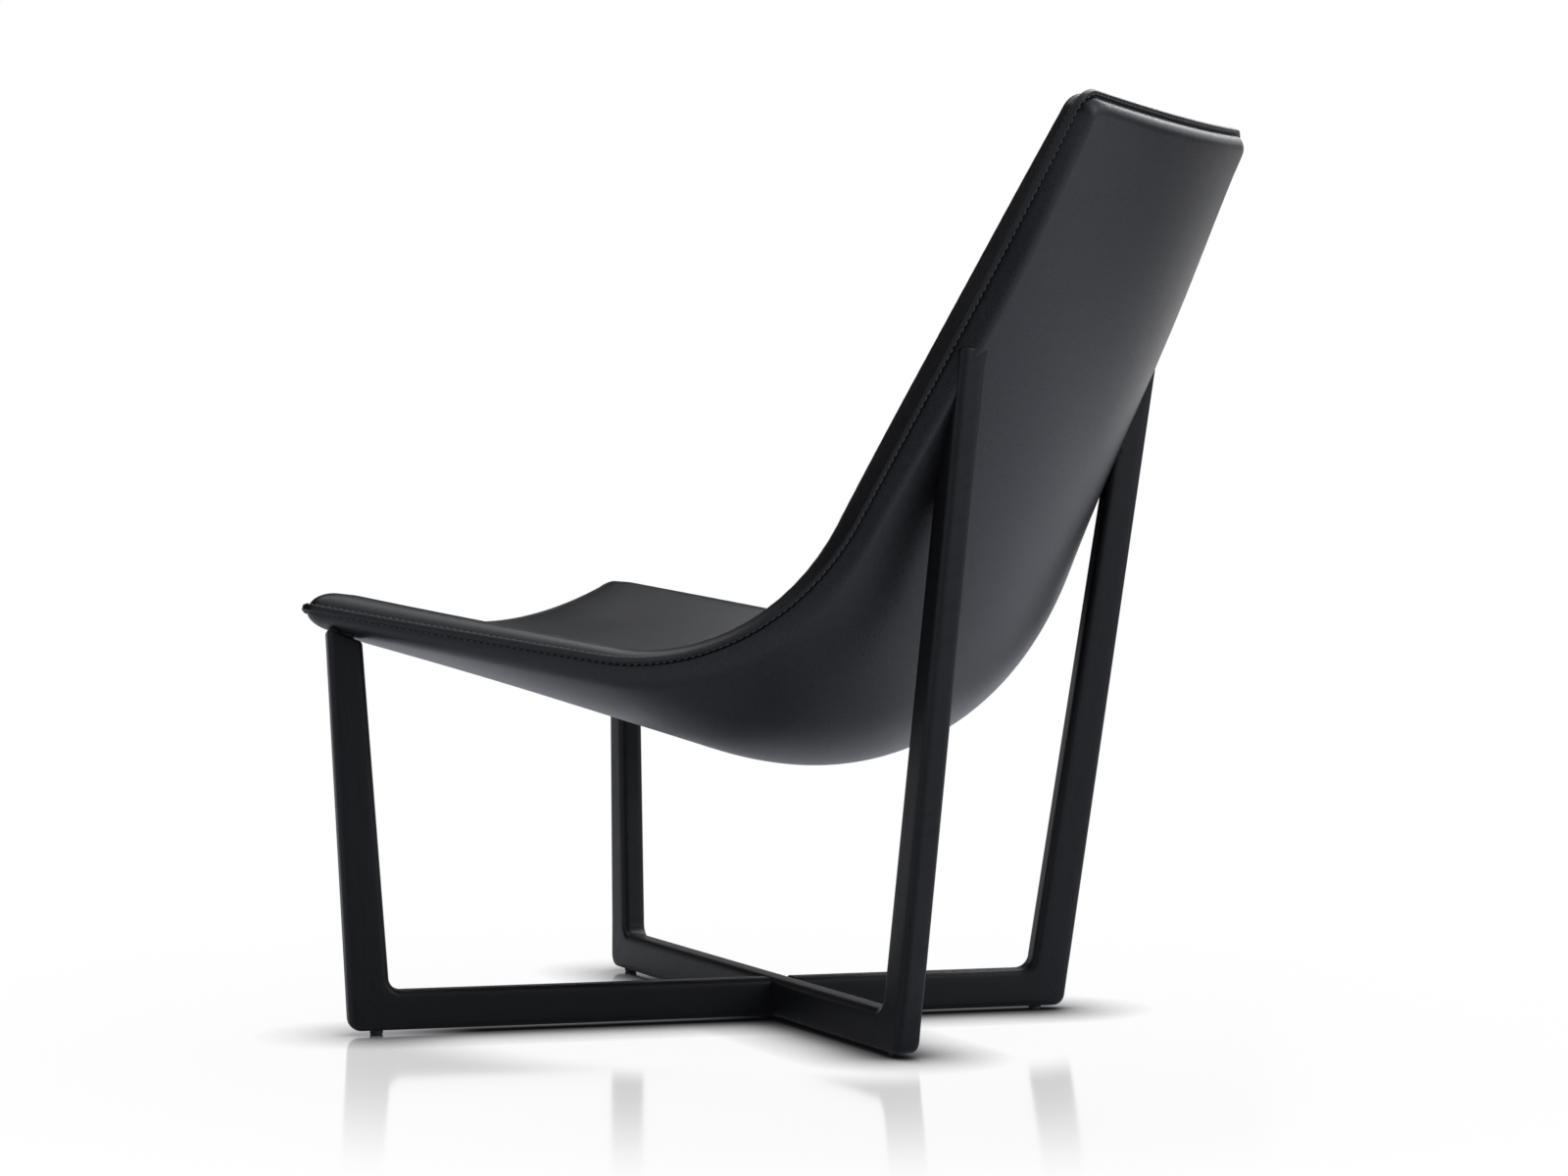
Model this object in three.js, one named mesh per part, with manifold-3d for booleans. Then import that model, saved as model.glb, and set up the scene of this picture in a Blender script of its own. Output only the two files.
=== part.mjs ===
// Lounge chair: a padded leather bucket carried by two crossed wooden frames.
// Millimetres, +Z up. The sitter looks along -Y, so the sitter's left is +X.

import * as THREE from "three";
import { mergeVertices } from "three/addons/utils/BufferGeometryUtils.js";
import Module from "manifold-3d";

const wasm = await Module();
wasm.setup();

// Clearance left between pieces that touch
const gap = 0.3;

// Rim of the bucket seen from the side: seat line, bend and back line, measured from the frames' crossing
const rimFrontReach = 347.5;
const rimFrontHeight = 393.2;
const rimBendReach = 118.9;
const rimBendHeight = 329.5;
const rimBendRadius = 226;
const rimTopReach = 382.6;
const rimTopHeight = 835;

// Middle line of the bucket, which hangs below and behind the rim
const frontDip = 35.4;
const middleBendReach = 160;
const middleBendHeight = 215;
const middleBendRadius = 192.6;
const topDipBack = 13;
const topDipDown = 7;

// Half widths that pull the plan of the rim from the front corners to the top corners
const halfWidthFront = 296;
const halfWidthSeat = 318;
const halfWidthBack = 221.8;
const halfWidthTop = 207;
const frontCornerRadius = 26;
const topCornerRadius = 22;

// Layers of the bucket
const coreThickness = 10;
const seatFoamThickness = 15.4;
const lumbarFoamThickness = 25.6;
const topFoamThickness = 9;
const backFoamThickness = 7.4;
const leatherThickness = 1.8;
const seamLip = 8;
const edgeRoll = 26;
const edgeRollAtBack = 12;
const foamEdgeInset = 1;
const coreEdgeInset = 1.2;
const rollStops = [0.2, 0.55, 1];
const threadRadius = 0.5;
const threadFromEdge = 4.5;

// Steps of the bucket's grid: seat, bend and back along it, and the steps across it
const seatSteps = 4;
const bendSteps = 8;
const backSteps = 5;
const acrossSteps = 8;

// Wooden frames, set out from the bucket: how far inside its front corners the front legs stand, how far
// along its rim the rear legs end, and how far inside its sides and behind its rim they stand there
const frontLegInset = 16.9;
const frontLegSetback = 23.5;
const rearLegShare = 0.7541;
const rearLegInset = 8.9;
const rearLegProud = 22.1;
const timberThickness = 24.6;
const edgeRound = 6;
const edgeRoundSteps = 3;
const frontFootWidth = 39.6;
const frontLean = 0.0551;
const frontTaper = 0.0227;
const frontSideLean = 0.014;
const rearFootWidth = 38.4;
const rearLean = 0.1386;
const rearTaper = 0.0118;
const footRound = 11;
const footRoundSteps = 4;
const railHeight = 36;
const railBevel = 4;
const innerCornerRadius = 13;
const cornerSteps = 5;

// Fastenings and feet
const dowelDiameter = 7;
const dowelLength = 34;
const dowelHeights = [20, 32];
const glideDiameter = 12;
const glideHeight = 4;
const glideEdge = 1;
const glideFromOuterEdge = 25.5;
const pinDiameter = 2.6;
const pinDepth = 10;
const pinSeat = 2.2;
const screwDiameter = 4.6;
const screwHeadDiameter = 10;
const screwHeadHeight = 3;
const screwPoint = 5;
const screwSink = 0.8;
const frontScrewLength = 42;
const rearScrewLength = 28;
const lapScrewLength = 26;
const frontScrewInset = 7;
const rearScrewDrops = [42, 88];
const spacerThickness = 1.6;
const spacerDiameter = 16;
const roundSides = 12;
const screwSides = 8;

// Reach of the tool that trims the legs: past the rim, and through the bucket to the sitter's side
const trimOverhang = 45;
const trimDepth = 70;

// Reach of the other cutting tools past what they cut
const toolReach = 60;

// Materials
const material = (color, roughness) => new THREE.MeshStandardMaterial({ color, roughness, metalness: 0 });
const leather = material("#2a2b2e", 0.5);
const thread = material("#1c1c1e", 0.8);
const foam = material("#cfc8b4", 0.95);
const plywood = material("#b08a5c", 0.7);
const lacqueredWood = material("#1b1c1e", 0.42);
const beech = material("#c9a577", 0.7);
const plastic = material("#141414", 0.6);
const fibre = material("#5b5750", 0.8);
const steel = new THREE.MeshStandardMaterial({ color: "#9a9c9f", roughness: 0.4, metalness: 1 });

// Solids for joining and cutting
const weldDistance = 1e-4;

function solid(geometry) {
  const bare = geometry.clone();
  bare.deleteAttribute("normal");
  bare.deleteAttribute("uv");
  const merged = mergeVertices(bare, weldDistance);
  const vertProperties = new Float32Array(merged.attributes.position.array);
  const triVerts = new Uint32Array(merged.index.array);
  return new wasm.Manifold(new wasm.Mesh({ numProp: 3, vertProperties, triVerts }));
}

function geometryOf(manifold) {
  const mesh = manifold.getMesh();
  const geometry = new THREE.BufferGeometry();
  geometry.setAttribute("position", new THREE.BufferAttribute(mesh.vertProperties, 3));
  geometry.setIndex(new THREE.BufferAttribute(mesh.triVerts, 1));
  geometry.computeVertexNormals();
  return geometry;
}

const cut = (geometry, ...tools) =>
  geometryOf(tools.reduce((left, tool) => left.subtract(solid(tool)), solid(geometry)));

const common = (geometry, other) => geometryOf(solid(geometry).intersect(solid(other)));

function node(name, geometry, look) {
  const mesh = new THREE.Mesh(geometry, look);
  mesh.name = name;
  return mesh;
}

// A side view line: straight, an arc round the bend, straight. It runs on past both ends.
function bentLine(start, bend, end, radius) {
  const toStart = start.clone().sub(bend).normalize();
  const toEnd = end.clone().sub(bend).normalize();
  const half = Math.acos(toStart.dot(toEnd)) / 2;
  const arcStart = bend.clone().addScaledVector(toStart, radius / Math.tan(half));
  const arcEnd = bend.clone().addScaledVector(toEnd, radius / Math.tan(half));
  const middle = toStart.clone().add(toEnd).normalize();
  const centre = bend.clone().addScaledVector(middle, radius / Math.sin(half));
  const first = arcStart.clone().sub(centre).angle();
  const turn = Math.PI - 2 * half;
  const lengths = [start.distanceTo(arcStart), radius * turn, arcEnd.distanceTo(end)];
  const at = (u, seatShare, bendShare) => {
    if (u < seatShare) return start.clone().lerp(arcStart, u / seatShare);
    if (u > bendShare) return arcEnd.clone().lerp(end, (u - bendShare) / (1 - bendShare));
    const angle = first + turn * (u - seatShare) / (bendShare - seatShare);
    return new THREE.Vector2(Math.cos(angle), Math.sin(angle)).multiplyScalar(radius).add(centre);
  };
  return { at, lengths };
}

const rimLine = bentLine(
  new THREE.Vector2(-rimFrontReach, rimFrontHeight),
  new THREE.Vector2(rimBendReach, rimBendHeight),
  new THREE.Vector2(rimTopReach, rimTopHeight),
  rimBendRadius,
);
const middleLine = bentLine(
  new THREE.Vector2(-rimFrontReach, rimFrontHeight - frontDip),
  new THREE.Vector2(middleBendReach, middleBendHeight),
  new THREE.Vector2(rimTopReach + topDipBack, rimTopHeight - topDipDown),
  middleBendRadius,
);
const shellLength = rimLine.lengths.reduce((sum, length) => sum + length);
const seatShare = rimLine.lengths[0] / shellLength;
const bendShare = 1 - rimLine.lengths[2] / shellLength;

const rimAt = (u) => rimLine.at(u, seatShare, bendShare);
const middleAt = (u) => middleLine.at(u, seatShare, bendShare);

function halfWidth(u) {
  const v = 1 - u;
  const front = halfWidthFront * v ** 3 + 3 * halfWidthSeat * u * v ** 2;
  return front + 3 * halfWidthBack * u ** 2 * v + halfWidthTop * u ** 3;
}

// The bucket's middle surface: across it, each section is a parabola from rim to rim
function surface(u, side) {
  const section = middleAt(u).lerp(rimAt(u), side ** 2);
  return new THREE.Vector3(halfWidth(u) * side, section.x, section.y);
}

function slopes(u, side) {
  const step = 1e-4;
  const along = surface(u + step, side).sub(surface(u - step, side)).divideScalar(2 * step);
  const across = surface(u, side + step).sub(surface(u, side - step)).divideScalar(2 * step);
  return { along, across };
}

// Points to the sitter's side
function normalAt(u, side) {
  const { along, across } = slopes(u, side);
  return across.cross(along).normalize();
}

const onShell = (spot, offset) =>
  surface(spot.u, spot.side).addScaledVector(normalAt(spot.u, spot.side), offset);

// Share of a distance across the rim's slope that counts sideways
function edgeLean(u) {
  const rise = 2 * rimAt(u).distanceTo(middleAt(u)) / halfWidth(u);
  return 1 / Math.hypot(1, rise);
}

// Distances from the rim: the lip, then the roll where the skins part
const rollEnd = seamLip + edgeRoll;
const foamEdge = seamLip + leatherThickness + foamEdgeInset;
const [rollLow, rollHigh, rollTop] = rollStops.map((share) => foamEdge + (rollEnd - foamEdge) * share);
const coreEdge = rollLow + coreEdgeInset;

// Moves a grid point near a corner onto the round of that corner, keeping its distance from the rim
function roundCorner(fromEnd, fromSide, radius) {
  const inset = Math.min(fromEnd, fromSide);
  const other = Math.max(fromEnd, fromSide);
  if (other >= radius) return [fromEnd, fromSide];
  const left = radius - inset;
  const angle = Math.PI / 4 * (1 + (other - inset) / left);
  const near = radius - left * Math.sin(angle);
  const far = radius - left * Math.cos(angle);
  return fromEnd <= fromSide ? [near, far] : [far, near];
}

// Grid of spots on the bucket, closer near the rim: insets are distances from the rim
function shellGrid(insets) {
  const span = (from, to, steps) =>
    Array.from({ length: steps }, (_, i) => from + (to - from) * (i + 1) / steps);
  const seatEnd = seatShare * shellLength;
  const bendEnd = bendShare * shellLength;
  const last = insets[insets.length - 1];
  const rows = insets.map((inset) => ({ distance: inset, fromEnd: inset, corner: frontCornerRadius }));
  const inner = [
    ...span(last, seatEnd, seatSteps),
    ...span(seatEnd, bendEnd, bendSteps),
    ...span(bendEnd, shellLength - last, backSteps),
  ];
  for (const distance of inner) {
    rows.push({ distance, fromEnd: shellLength - distance, corner: topCornerRadius });
  }
  for (const inset of insets.slice(0, -1).reverse()) {
    rows.push({ distance: shellLength - inset, fromEnd: inset, corner: topCornerRadius });
  }
  const columns = insets.map((inset) => ({ hand: -1, fromSide: inset }));
  for (const share of span(-1, 1, acrossSteps).slice(0, -1)) {
    columns.push({ hand: 0, share, fromSide: Infinity });
  }
  for (const inset of insets.slice().reverse()) columns.push({ hand: 1, fromSide: inset });
  return rows.map((row) => columns.map((column) => {
    const [fromEnd, fromSide] = roundCorner(row.fromEnd, column.fromSide, row.corner);
    const atFront = row.distance === row.fromEnd;
    const u = (atFront ? fromEnd : shellLength - fromEnd) / shellLength;
    const width = halfWidth(u);
    const x = column.hand === 0
      ? column.share * (width - last * edgeLean(u))
      : column.hand * (width - fromSide * edgeLean(u));
    const inset = Math.min(row.fromEnd, column.fromSide, last);
    return { u, side: x / width, inset };
  }));
}

function rimLoop(grid) {
  const lastRow = grid.length - 1;
  const lastColumn = grid[0].length - 1;
  const loop = [];
  for (let j = 0; j < lastColumn; j++) loop.push([0, j]);
  for (let i = 0; i < lastRow; i++) loop.push([i, lastColumn]);
  for (let j = lastColumn; j > 0; j--) loop.push([lastRow, j]);
  for (let i = lastRow; i > 0; i--) loop.push([i, 0]);
  return loop;
}

function closedGeometry(points, triangles) {
  const geometry = new THREE.BufferGeometry();
  geometry.setAttribute("position", new THREE.Float32BufferAttribute(points.flatMap((p) => p.toArray()), 3));
  geometry.setIndex(triangles.flat());
  geometry.computeVertexNormals();
  return geometry;
}

// A sheet between two offsets from the middle surface, each a function of the inset and the place along it
function layer(insets, upper, lower) {
  const grid = shellGrid(insets);
  const wide = grid[0].length;
  const count = grid.length * wide;
  const id = ([i, j]) => i * wide + j;
  const spots = grid.flat();
  const points = [
    ...spots.map((spot) => onShell(spot, upper(spot.inset, spot.u))),
    ...spots.map((spot) => onShell(spot, lower(spot.inset, spot.u))),
  ];
  const triangles = [];
  for (let i = 0; i + 1 < grid.length; i++) {
    for (let j = 0; j + 1 < wide; j++) {
      const [a, b, c, d] = [id([i, j]), id([i, j + 1]), id([i + 1, j + 1]), id([i + 1, j])];
      triangles.push([a, b, c], [a, c, d]);
      triangles.push([c + count, b + count, a + count], [d + count, c + count, a + count]);
    }
  }
  const loop = rimLoop(grid).map(id);
  loop.forEach((p, k) => {
    const q = loop[(k + 1) % loop.length];
    triangles.push([q, p, p + count], [q, p + count, q + count]);
  });
  return closedGeometry(points, triangles);
}

// Offsets of the skins: flat in the lip, then a quarter ellipse up to the full padding.
// On the sitter's side the pad is thickest at the small of the back and thins out towards the top,
// and its edge gets tighter from the seat to the back.
const coreHalf = coreThickness / 2;
const faceOver = (foamThickness) => coreHalf + gap + foamThickness + gap + leatherThickness;
const outerFace = faceOver(backFoamThickness);
const lipMiddle = gap / 2;
const outerPad = () => ({ face: outerFace, width: edgeRoll });

function innerPad(u) {
  const backness = THREE.MathUtils.smoothstep(u, seatShare, bendShare);
  const upTheBack = Math.max(0, (u - bendShare) / (1 - bendShare));
  const lowerFoam = THREE.MathUtils.lerp(seatFoamThickness, lumbarFoamThickness, backness);
  const face = faceOver(THREE.MathUtils.lerp(lowerFoam, topFoamThickness, upTheBack ** 2));
  return { face, width: THREE.MathUtils.lerp(edgeRoll, edgeRollAtBack, backness) };
}

function roll(inset, start, end) {
  const share = THREE.MathUtils.clamp((inset - start) / (end - start), 0, 1);
  return Math.sqrt(1 - (1 - share) ** 2);
}

const skinOutside = (pad) => (inset, u) => {
  const { face, width } = pad(u);
  const lip = lipMiddle + leatherThickness;
  return lip + (face - lip) * roll(inset, seamLip, seamLip + width);
};
const skinInside = (pad) => (inset, u) => {
  const { face, width } = pad(u);
  const rise = roll(inset, seamLip + leatherThickness, seamLip + width);
  return lipMiddle + (face - leatherThickness - lipMiddle) * rise;
};

const foamFace = (pad) => (inset, u) => skinInside(pad)(inset, u) - gap;
const foamSeat = (inset) => (inset < rollLow ? lipMiddle : coreHalf + gap);
const flip = (offset) => (inset, u) => -offset(inset, u);
const outward = (offset, distance) => (inset, u) => offset(inset, u) + distance;

const leatherInsets = [0, seamLip, foamEdge, rollLow, rollHigh, rollTop];
const foamInsets = [foamEdge, rollLow, rollHigh, rollTop];
const coreInsets = [coreEdge, rollHigh, rollTop];

const innerLeather = layer(leatherInsets, skinOutside(innerPad), skinInside(innerPad));
const outerLeather = layer(leatherInsets, flip(skinInside(outerPad)), flip(skinOutside(outerPad)));
const seatFoam = layer(foamInsets, foamFace(innerPad), foamSeat);
const backFoam = layer(foamInsets, flip(foamSeat), flip(foamFace(outerPad)));
const core = layer(coreInsets, () => coreHalf, () => -coreHalf);

// Stitches: one thread that lies along the lip on the sitter's side
function seamThread() {
  const grid = shellGrid([threadFromEdge, ...leatherInsets.filter((inset) => inset > threadFromEdge)]);
  const spots = rimLoop(grid).map(([i, j]) => grid[i][j]);
  const height = lipMiddle + leatherThickness + gap + threadRadius;
  const centres = spots.map((spot) => onShell(spot, height));
  const sides = 4;
  const points = centres.flatMap((centre, k) => {
    const before = centres[(k + centres.length - 1) % centres.length];
    const after = centres[(k + 1) % centres.length];
    const up = normalAt(spots[k].u, spots[k].side);
    const out = after.clone().sub(before).normalize().cross(up).normalize();
    return Array.from({ length: sides }, (_, n) => {
      const angle = 2 * Math.PI * n / sides;
      const rise = threadRadius * Math.sin(angle);
      return centre.clone().addScaledVector(out, threadRadius * Math.cos(angle)).addScaledVector(up, rise);
    });
  });
  const triangles = centres.flatMap((_, k) => {
    const next = (k + 1) % centres.length;
    return Array.from({ length: sides }, (_, n) => {
      const turn = (n + 1) % sides;
      const [a, b, c, d] = [k * sides + n, next * sides + n, next * sides + turn, k * sides + turn];
      return [[a, b, c], [a, c, d]];
    }).flat();
  });
  return closedGeometry(points, triangles);
}

// Trims a leg to the bucket, the given distance outside its outer skin
const belowSkin = (distance) => flip(outward(skinOutside(outerPad), distance));
const trimTool = (distance) => layer([-trimOverhang, ...leatherInsets], () => trimDepth, belowSkin(distance));

// Spot on the bucket's middle surface nearest to a point, with the point's distance from it
function nearestSpot(point) {
  const rounds = 40;
  const spot = { u: (point.y < rimBendReach ? seatShare : 1 + bendShare) / 2, side: 0 };
  for (let round = 0; round < rounds; round++) {
    const { along, across } = slopes(spot.u, spot.side);
    const away = point.clone().sub(surface(spot.u, spot.side));
    const [aa, ac, cc] = [along.dot(along), along.dot(across), across.dot(across)];
    const [ra, rc] = [along.dot(away), across.dot(away)];
    const scale = aa * cc - ac * ac;
    spot.u += (ra * cc - rc * ac) / scale;
    spot.side += (rc * aa - ra * ac) / scale;
  }
  const normal = normalAt(spot.u, spot.side);
  return { ...spot, normal, offset: point.clone().sub(surface(spot.u, spot.side)).dot(normal) };
}

// Angle of the frames from the chair's middle line, and how far out their feet stand along them
const cornerAcross = halfWidthFront - frontLegInset;
const cornerAhead = rimFrontReach - frontLegSetback;
const frameAngle = Math.atan2(cornerAcross, cornerAhead);
const frontFootReach = Math.hypot(cornerAcross, cornerAhead) - frontLean * rimFrontHeight;
const rearLegTop = rimAt(rearLegShare).y;
const rearBehind = rimAt(rearLegShare).x + rearLegProud;
const rearAcross = halfWidth(rearLegShare) - rearLegInset;
const rearLegSpot = new THREE.Vector2(rearBehind, rearAcross).rotateAround(new THREE.Vector2(), -frameAngle);
const rearFootReach = rearLegSpot.x - rearLean * rearLegTop;
const rearSideLean = -rearLegSpot.y / rearLegTop;

// Legs, seen in the plane of their frame: x runs out along the frame, z up
const legs = {
  front: {
    sign: 1, reach: frontFootReach, width: frontFootWidth, lean: frontLean, taper: frontTaper,
    sideLean: frontSideLean, top: rimFrontHeight,
  },
  rear: {
    sign: -1, reach: rearFootReach, width: rearFootWidth, lean: rearLean, taper: rearTaper,
    sideLean: rearSideLean, top: rearLegTop,
  },
};
const outerEdge = (leg, z) => leg.reach + leg.lean * z;
const innerEdge = (leg, z) => leg.reach - leg.width + (leg.lean + leg.taper) * z;
const legAxis = (leg, hand, z) =>
  new THREE.Vector3(leg.sign * (outerEdge(leg, z) + innerEdge(leg, z)) / 2, hand * leg.sideLean * z, z);

// Rounded rectangle as a ring of points, anticlockwise seen from above
function section(x0, x1, y0, y1, z, round) {
  const corners = [
    [x1 - round, y1 - round], [x0 + round, y1 - round], [x0 + round, y0 + round], [x1 - round, y0 + round],
  ];
  return corners.flatMap(([x, y], quarter) => Array.from({ length: edgeRoundSteps + 1 }, (_, k) => {
    const angle = Math.PI / 2 * (quarter + k / edgeRoundSteps);
    return new THREE.Vector3(x + round * Math.cos(angle), y + round * Math.sin(angle), z);
  }));
}

function loft(rings) {
  const sides = rings[0].length;
  const triangles = [];
  for (let i = 0; i + 1 < rings.length; i++) {
    for (let k = 0; k < sides; k++) {
      const next = (k + 1) % sides;
      const [a, b] = [i * sides + k, i * sides + next];
      triangles.push([a, b, b + sides], [a, b + sides, a + sides]);
    }
  }
  const last = (rings.length - 1) * sides;
  for (let k = 1; k + 1 < sides; k++) {
    triangles.push([0, k + 1, k], [last, last + k, last + k + 1]);
  }
  return closedGeometry(rings.flat(), triangles);
}

function legBlank(leg, hand, from) {
  const ring = (z, trim) => {
    const [a, b] = [leg.sign * innerEdge(leg, z), leg.sign * (outerEdge(leg, z) - trim)];
    const shift = hand * leg.sideLean * z;
    const reach = timberThickness / 2;
    return section(Math.min(a, b), Math.max(a, b), shift - reach, shift + reach, z, edgeRound);
  };
  const foot = Array.from({ length: footRoundSteps }, (_, k) => {
    const angle = Math.PI / 2 * k / footRoundSteps;
    return ring(from + footRound * (1 - Math.cos(angle)), footRound * (1 - Math.sin(angle)));
  });
  return loft([...foot, ring(from + footRound, 0), ring(leg.top, 0)]);
}

// Cylinders and screws stand on their point, along +Z
function peg(diameter, length) {
  return new THREE.CylinderGeometry(diameter / 2, diameter / 2, length, roundSides).rotateX(Math.PI / 2);
}

function screw(length, clearance, above) {
  const shank = screwDiameter / 2 + clearance;
  const head = screwHeadDiameter / 2 + clearance;
  const neck = length - screwHeadHeight - clearance;
  const profile = [
    [0, -clearance], [shank, screwPoint - clearance], [shank, neck], [head, neck],
    [head, length + above], [0, length + above],
  ];
  const points = profile.map(([x, y]) => new THREE.Vector2(x, y));
  return new THREE.LatheGeometry(points, screwSides).rotateX(Math.PI / 2);
}

// A shell screw runs along the bucket's normal, its head sunk in the core, its point in a leg
function shellScrewMatrix(spot, length) {
  const head = onShell(spot, coreHalf - screwSink);
  const turn = new THREE.Quaternion().setFromUnitVectors(new THREE.Vector3(0, 0, 1), spot.normal);
  const point = head.addScaledVector(spot.normal, -length);
  return new THREE.Matrix4().compose(point, turn, new THREE.Vector3(1, 1, 1));
}

// Where the screw of a front leg meets the bucket, a little inside the leg's axis
function frontSpot(leg, hand, matrix) {
  let [low, high] = [leg.top / 2, leg.top + rimFrontHeight];
  const halvings = 40;
  const inward = new THREE.Vector3(-frontScrewInset, 0, 0);
  const spotAt = (z) => nearestSpot(legAxis(leg, hand, z).add(inward).applyMatrix4(matrix));
  for (let k = 0; k < halvings; k++) {
    const z = (low + high) / 2;
    if (spotAt(z).offset < 0) low = z;
    else high = z;
  }
  return spotAt(low);
}

// Rail: its ends sweep up into the legs, and the legs' slopes cut it off
const railTop = glideHeight + railHeight;

function railOutline() {
  const shape = new THREE.Shape();
  const { front, rear } = legs;
  const frontInner = innerEdge(front, railTop + innerCornerRadius);
  const rearInner = innerEdge(rear, railTop + innerCornerRadius);
  const sweepTop = railTop + innerCornerRadius;
  shape.moveTo(-rearInner - timberThickness, glideHeight);
  shape.lineTo(frontInner + timberThickness, glideHeight);
  shape.lineTo(frontInner + timberThickness, sweepTop);
  shape.lineTo(frontInner, sweepTop);
  const angles = Array.from({ length: cornerSteps }, (_, k) => Math.PI / 2 * (k + 1) / cornerSteps);
  for (const angle of angles) {
    const x = frontInner - innerCornerRadius * (1 - Math.cos(angle));
    shape.lineTo(x, sweepTop - innerCornerRadius * Math.sin(angle));
  }
  for (const angle of angles.slice().reverse()) {
    const x = -rearInner + innerCornerRadius * (1 - Math.cos(angle));
    shape.lineTo(x, sweepTop - innerCornerRadius * Math.sin(angle));
  }
  shape.lineTo(-rearInner, sweepTop);
  shape.lineTo(-rearInner - timberThickness, sweepTop);
  return shape;
}

function railBlank() {
  const depth = timberThickness - 2 * railBevel;
  const geometry = new THREE.ExtrudeGeometry(railOutline(), {
    depth,
    bevelThickness: railBevel,
    bevelSize: railBevel,
    bevelOffset: -railBevel,
    bevelSegments: edgeRoundSteps,
  });
  return geometry.translate(0, 0, -depth / 2).rotateX(Math.PI / 2);
}

// Everything outside the inner edge of a leg, less the gap of the glue line
function railEnd(leg) {
  const [low, high] = [-toolReach, railTop + toolReach];
  const edge = (z) => leg.sign * (innerEdge(leg, z) - gap);
  const far = leg.sign * (leg.reach + toolReach);
  const shape = new THREE.Shape([
    new THREE.Vector2(edge(low), low), new THREE.Vector2(far, low),
    new THREE.Vector2(far, high), new THREE.Vector2(edge(high), high),
  ]);
  const depth = timberThickness + toolReach;
  const geometry = new THREE.ExtrudeGeometry(shape, { depth, bevelEnabled: false });
  return geometry.translate(0, 0, -depth / 2).rotateX(Math.PI / 2);
}

// Half of the other rail, where it crosses this one
function lapTool(hand, low, high) {
  const geometry = new THREE.BoxGeometry(timberThickness + toolReach, timberThickness + 2 * gap, high - low);
  return geometry.translate(0, 0, (low + high) / 2).rotateZ(-2 * hand * frameAngle);
}

const dowelPlace = (leg, z) => new THREE.Vector3(leg.sign * innerEdge(leg, z), 0, z);
const dowelHole = (leg, z) => {
  const place = dowelPlace(leg, z);
  const hole = peg(dowelDiameter + 2 * gap, dowelLength + 2 * gap).rotateY(Math.PI / 2);
  return hole.translate(place.x, place.y, place.z);
};

const glidePlace = (leg) => leg.sign * (leg.reach - glideFromOuterEdge);
const pinBottom = glideHeight - pinSeat;

function glide() {
  const outside = glideDiameter / 2;
  const bore = pinDiameter / 2 + gap;
  const top = glideHeight - gap;
  const floor = pinBottom - gap;
  const profile = [
    [0, 0], [outside - glideEdge, 0], [outside, glideEdge], [outside, top],
    [bore, top], [bore, floor], [0, floor],
  ];
  const points = profile.map(([x, y]) => new THREE.Vector2(x, y));
  return new THREE.LatheGeometry(points, roundSides * 2).rotateX(Math.PI / 2);
}

// One U-shaped frame: two legs, a floor rail and what fastens them
const chair = new THREE.Group();
const shellHoles = [];
const lapLevel = glideHeight + railHeight / 2;
const lapScrewTip = glideHeight + screwSink + lapScrewLength;

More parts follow.
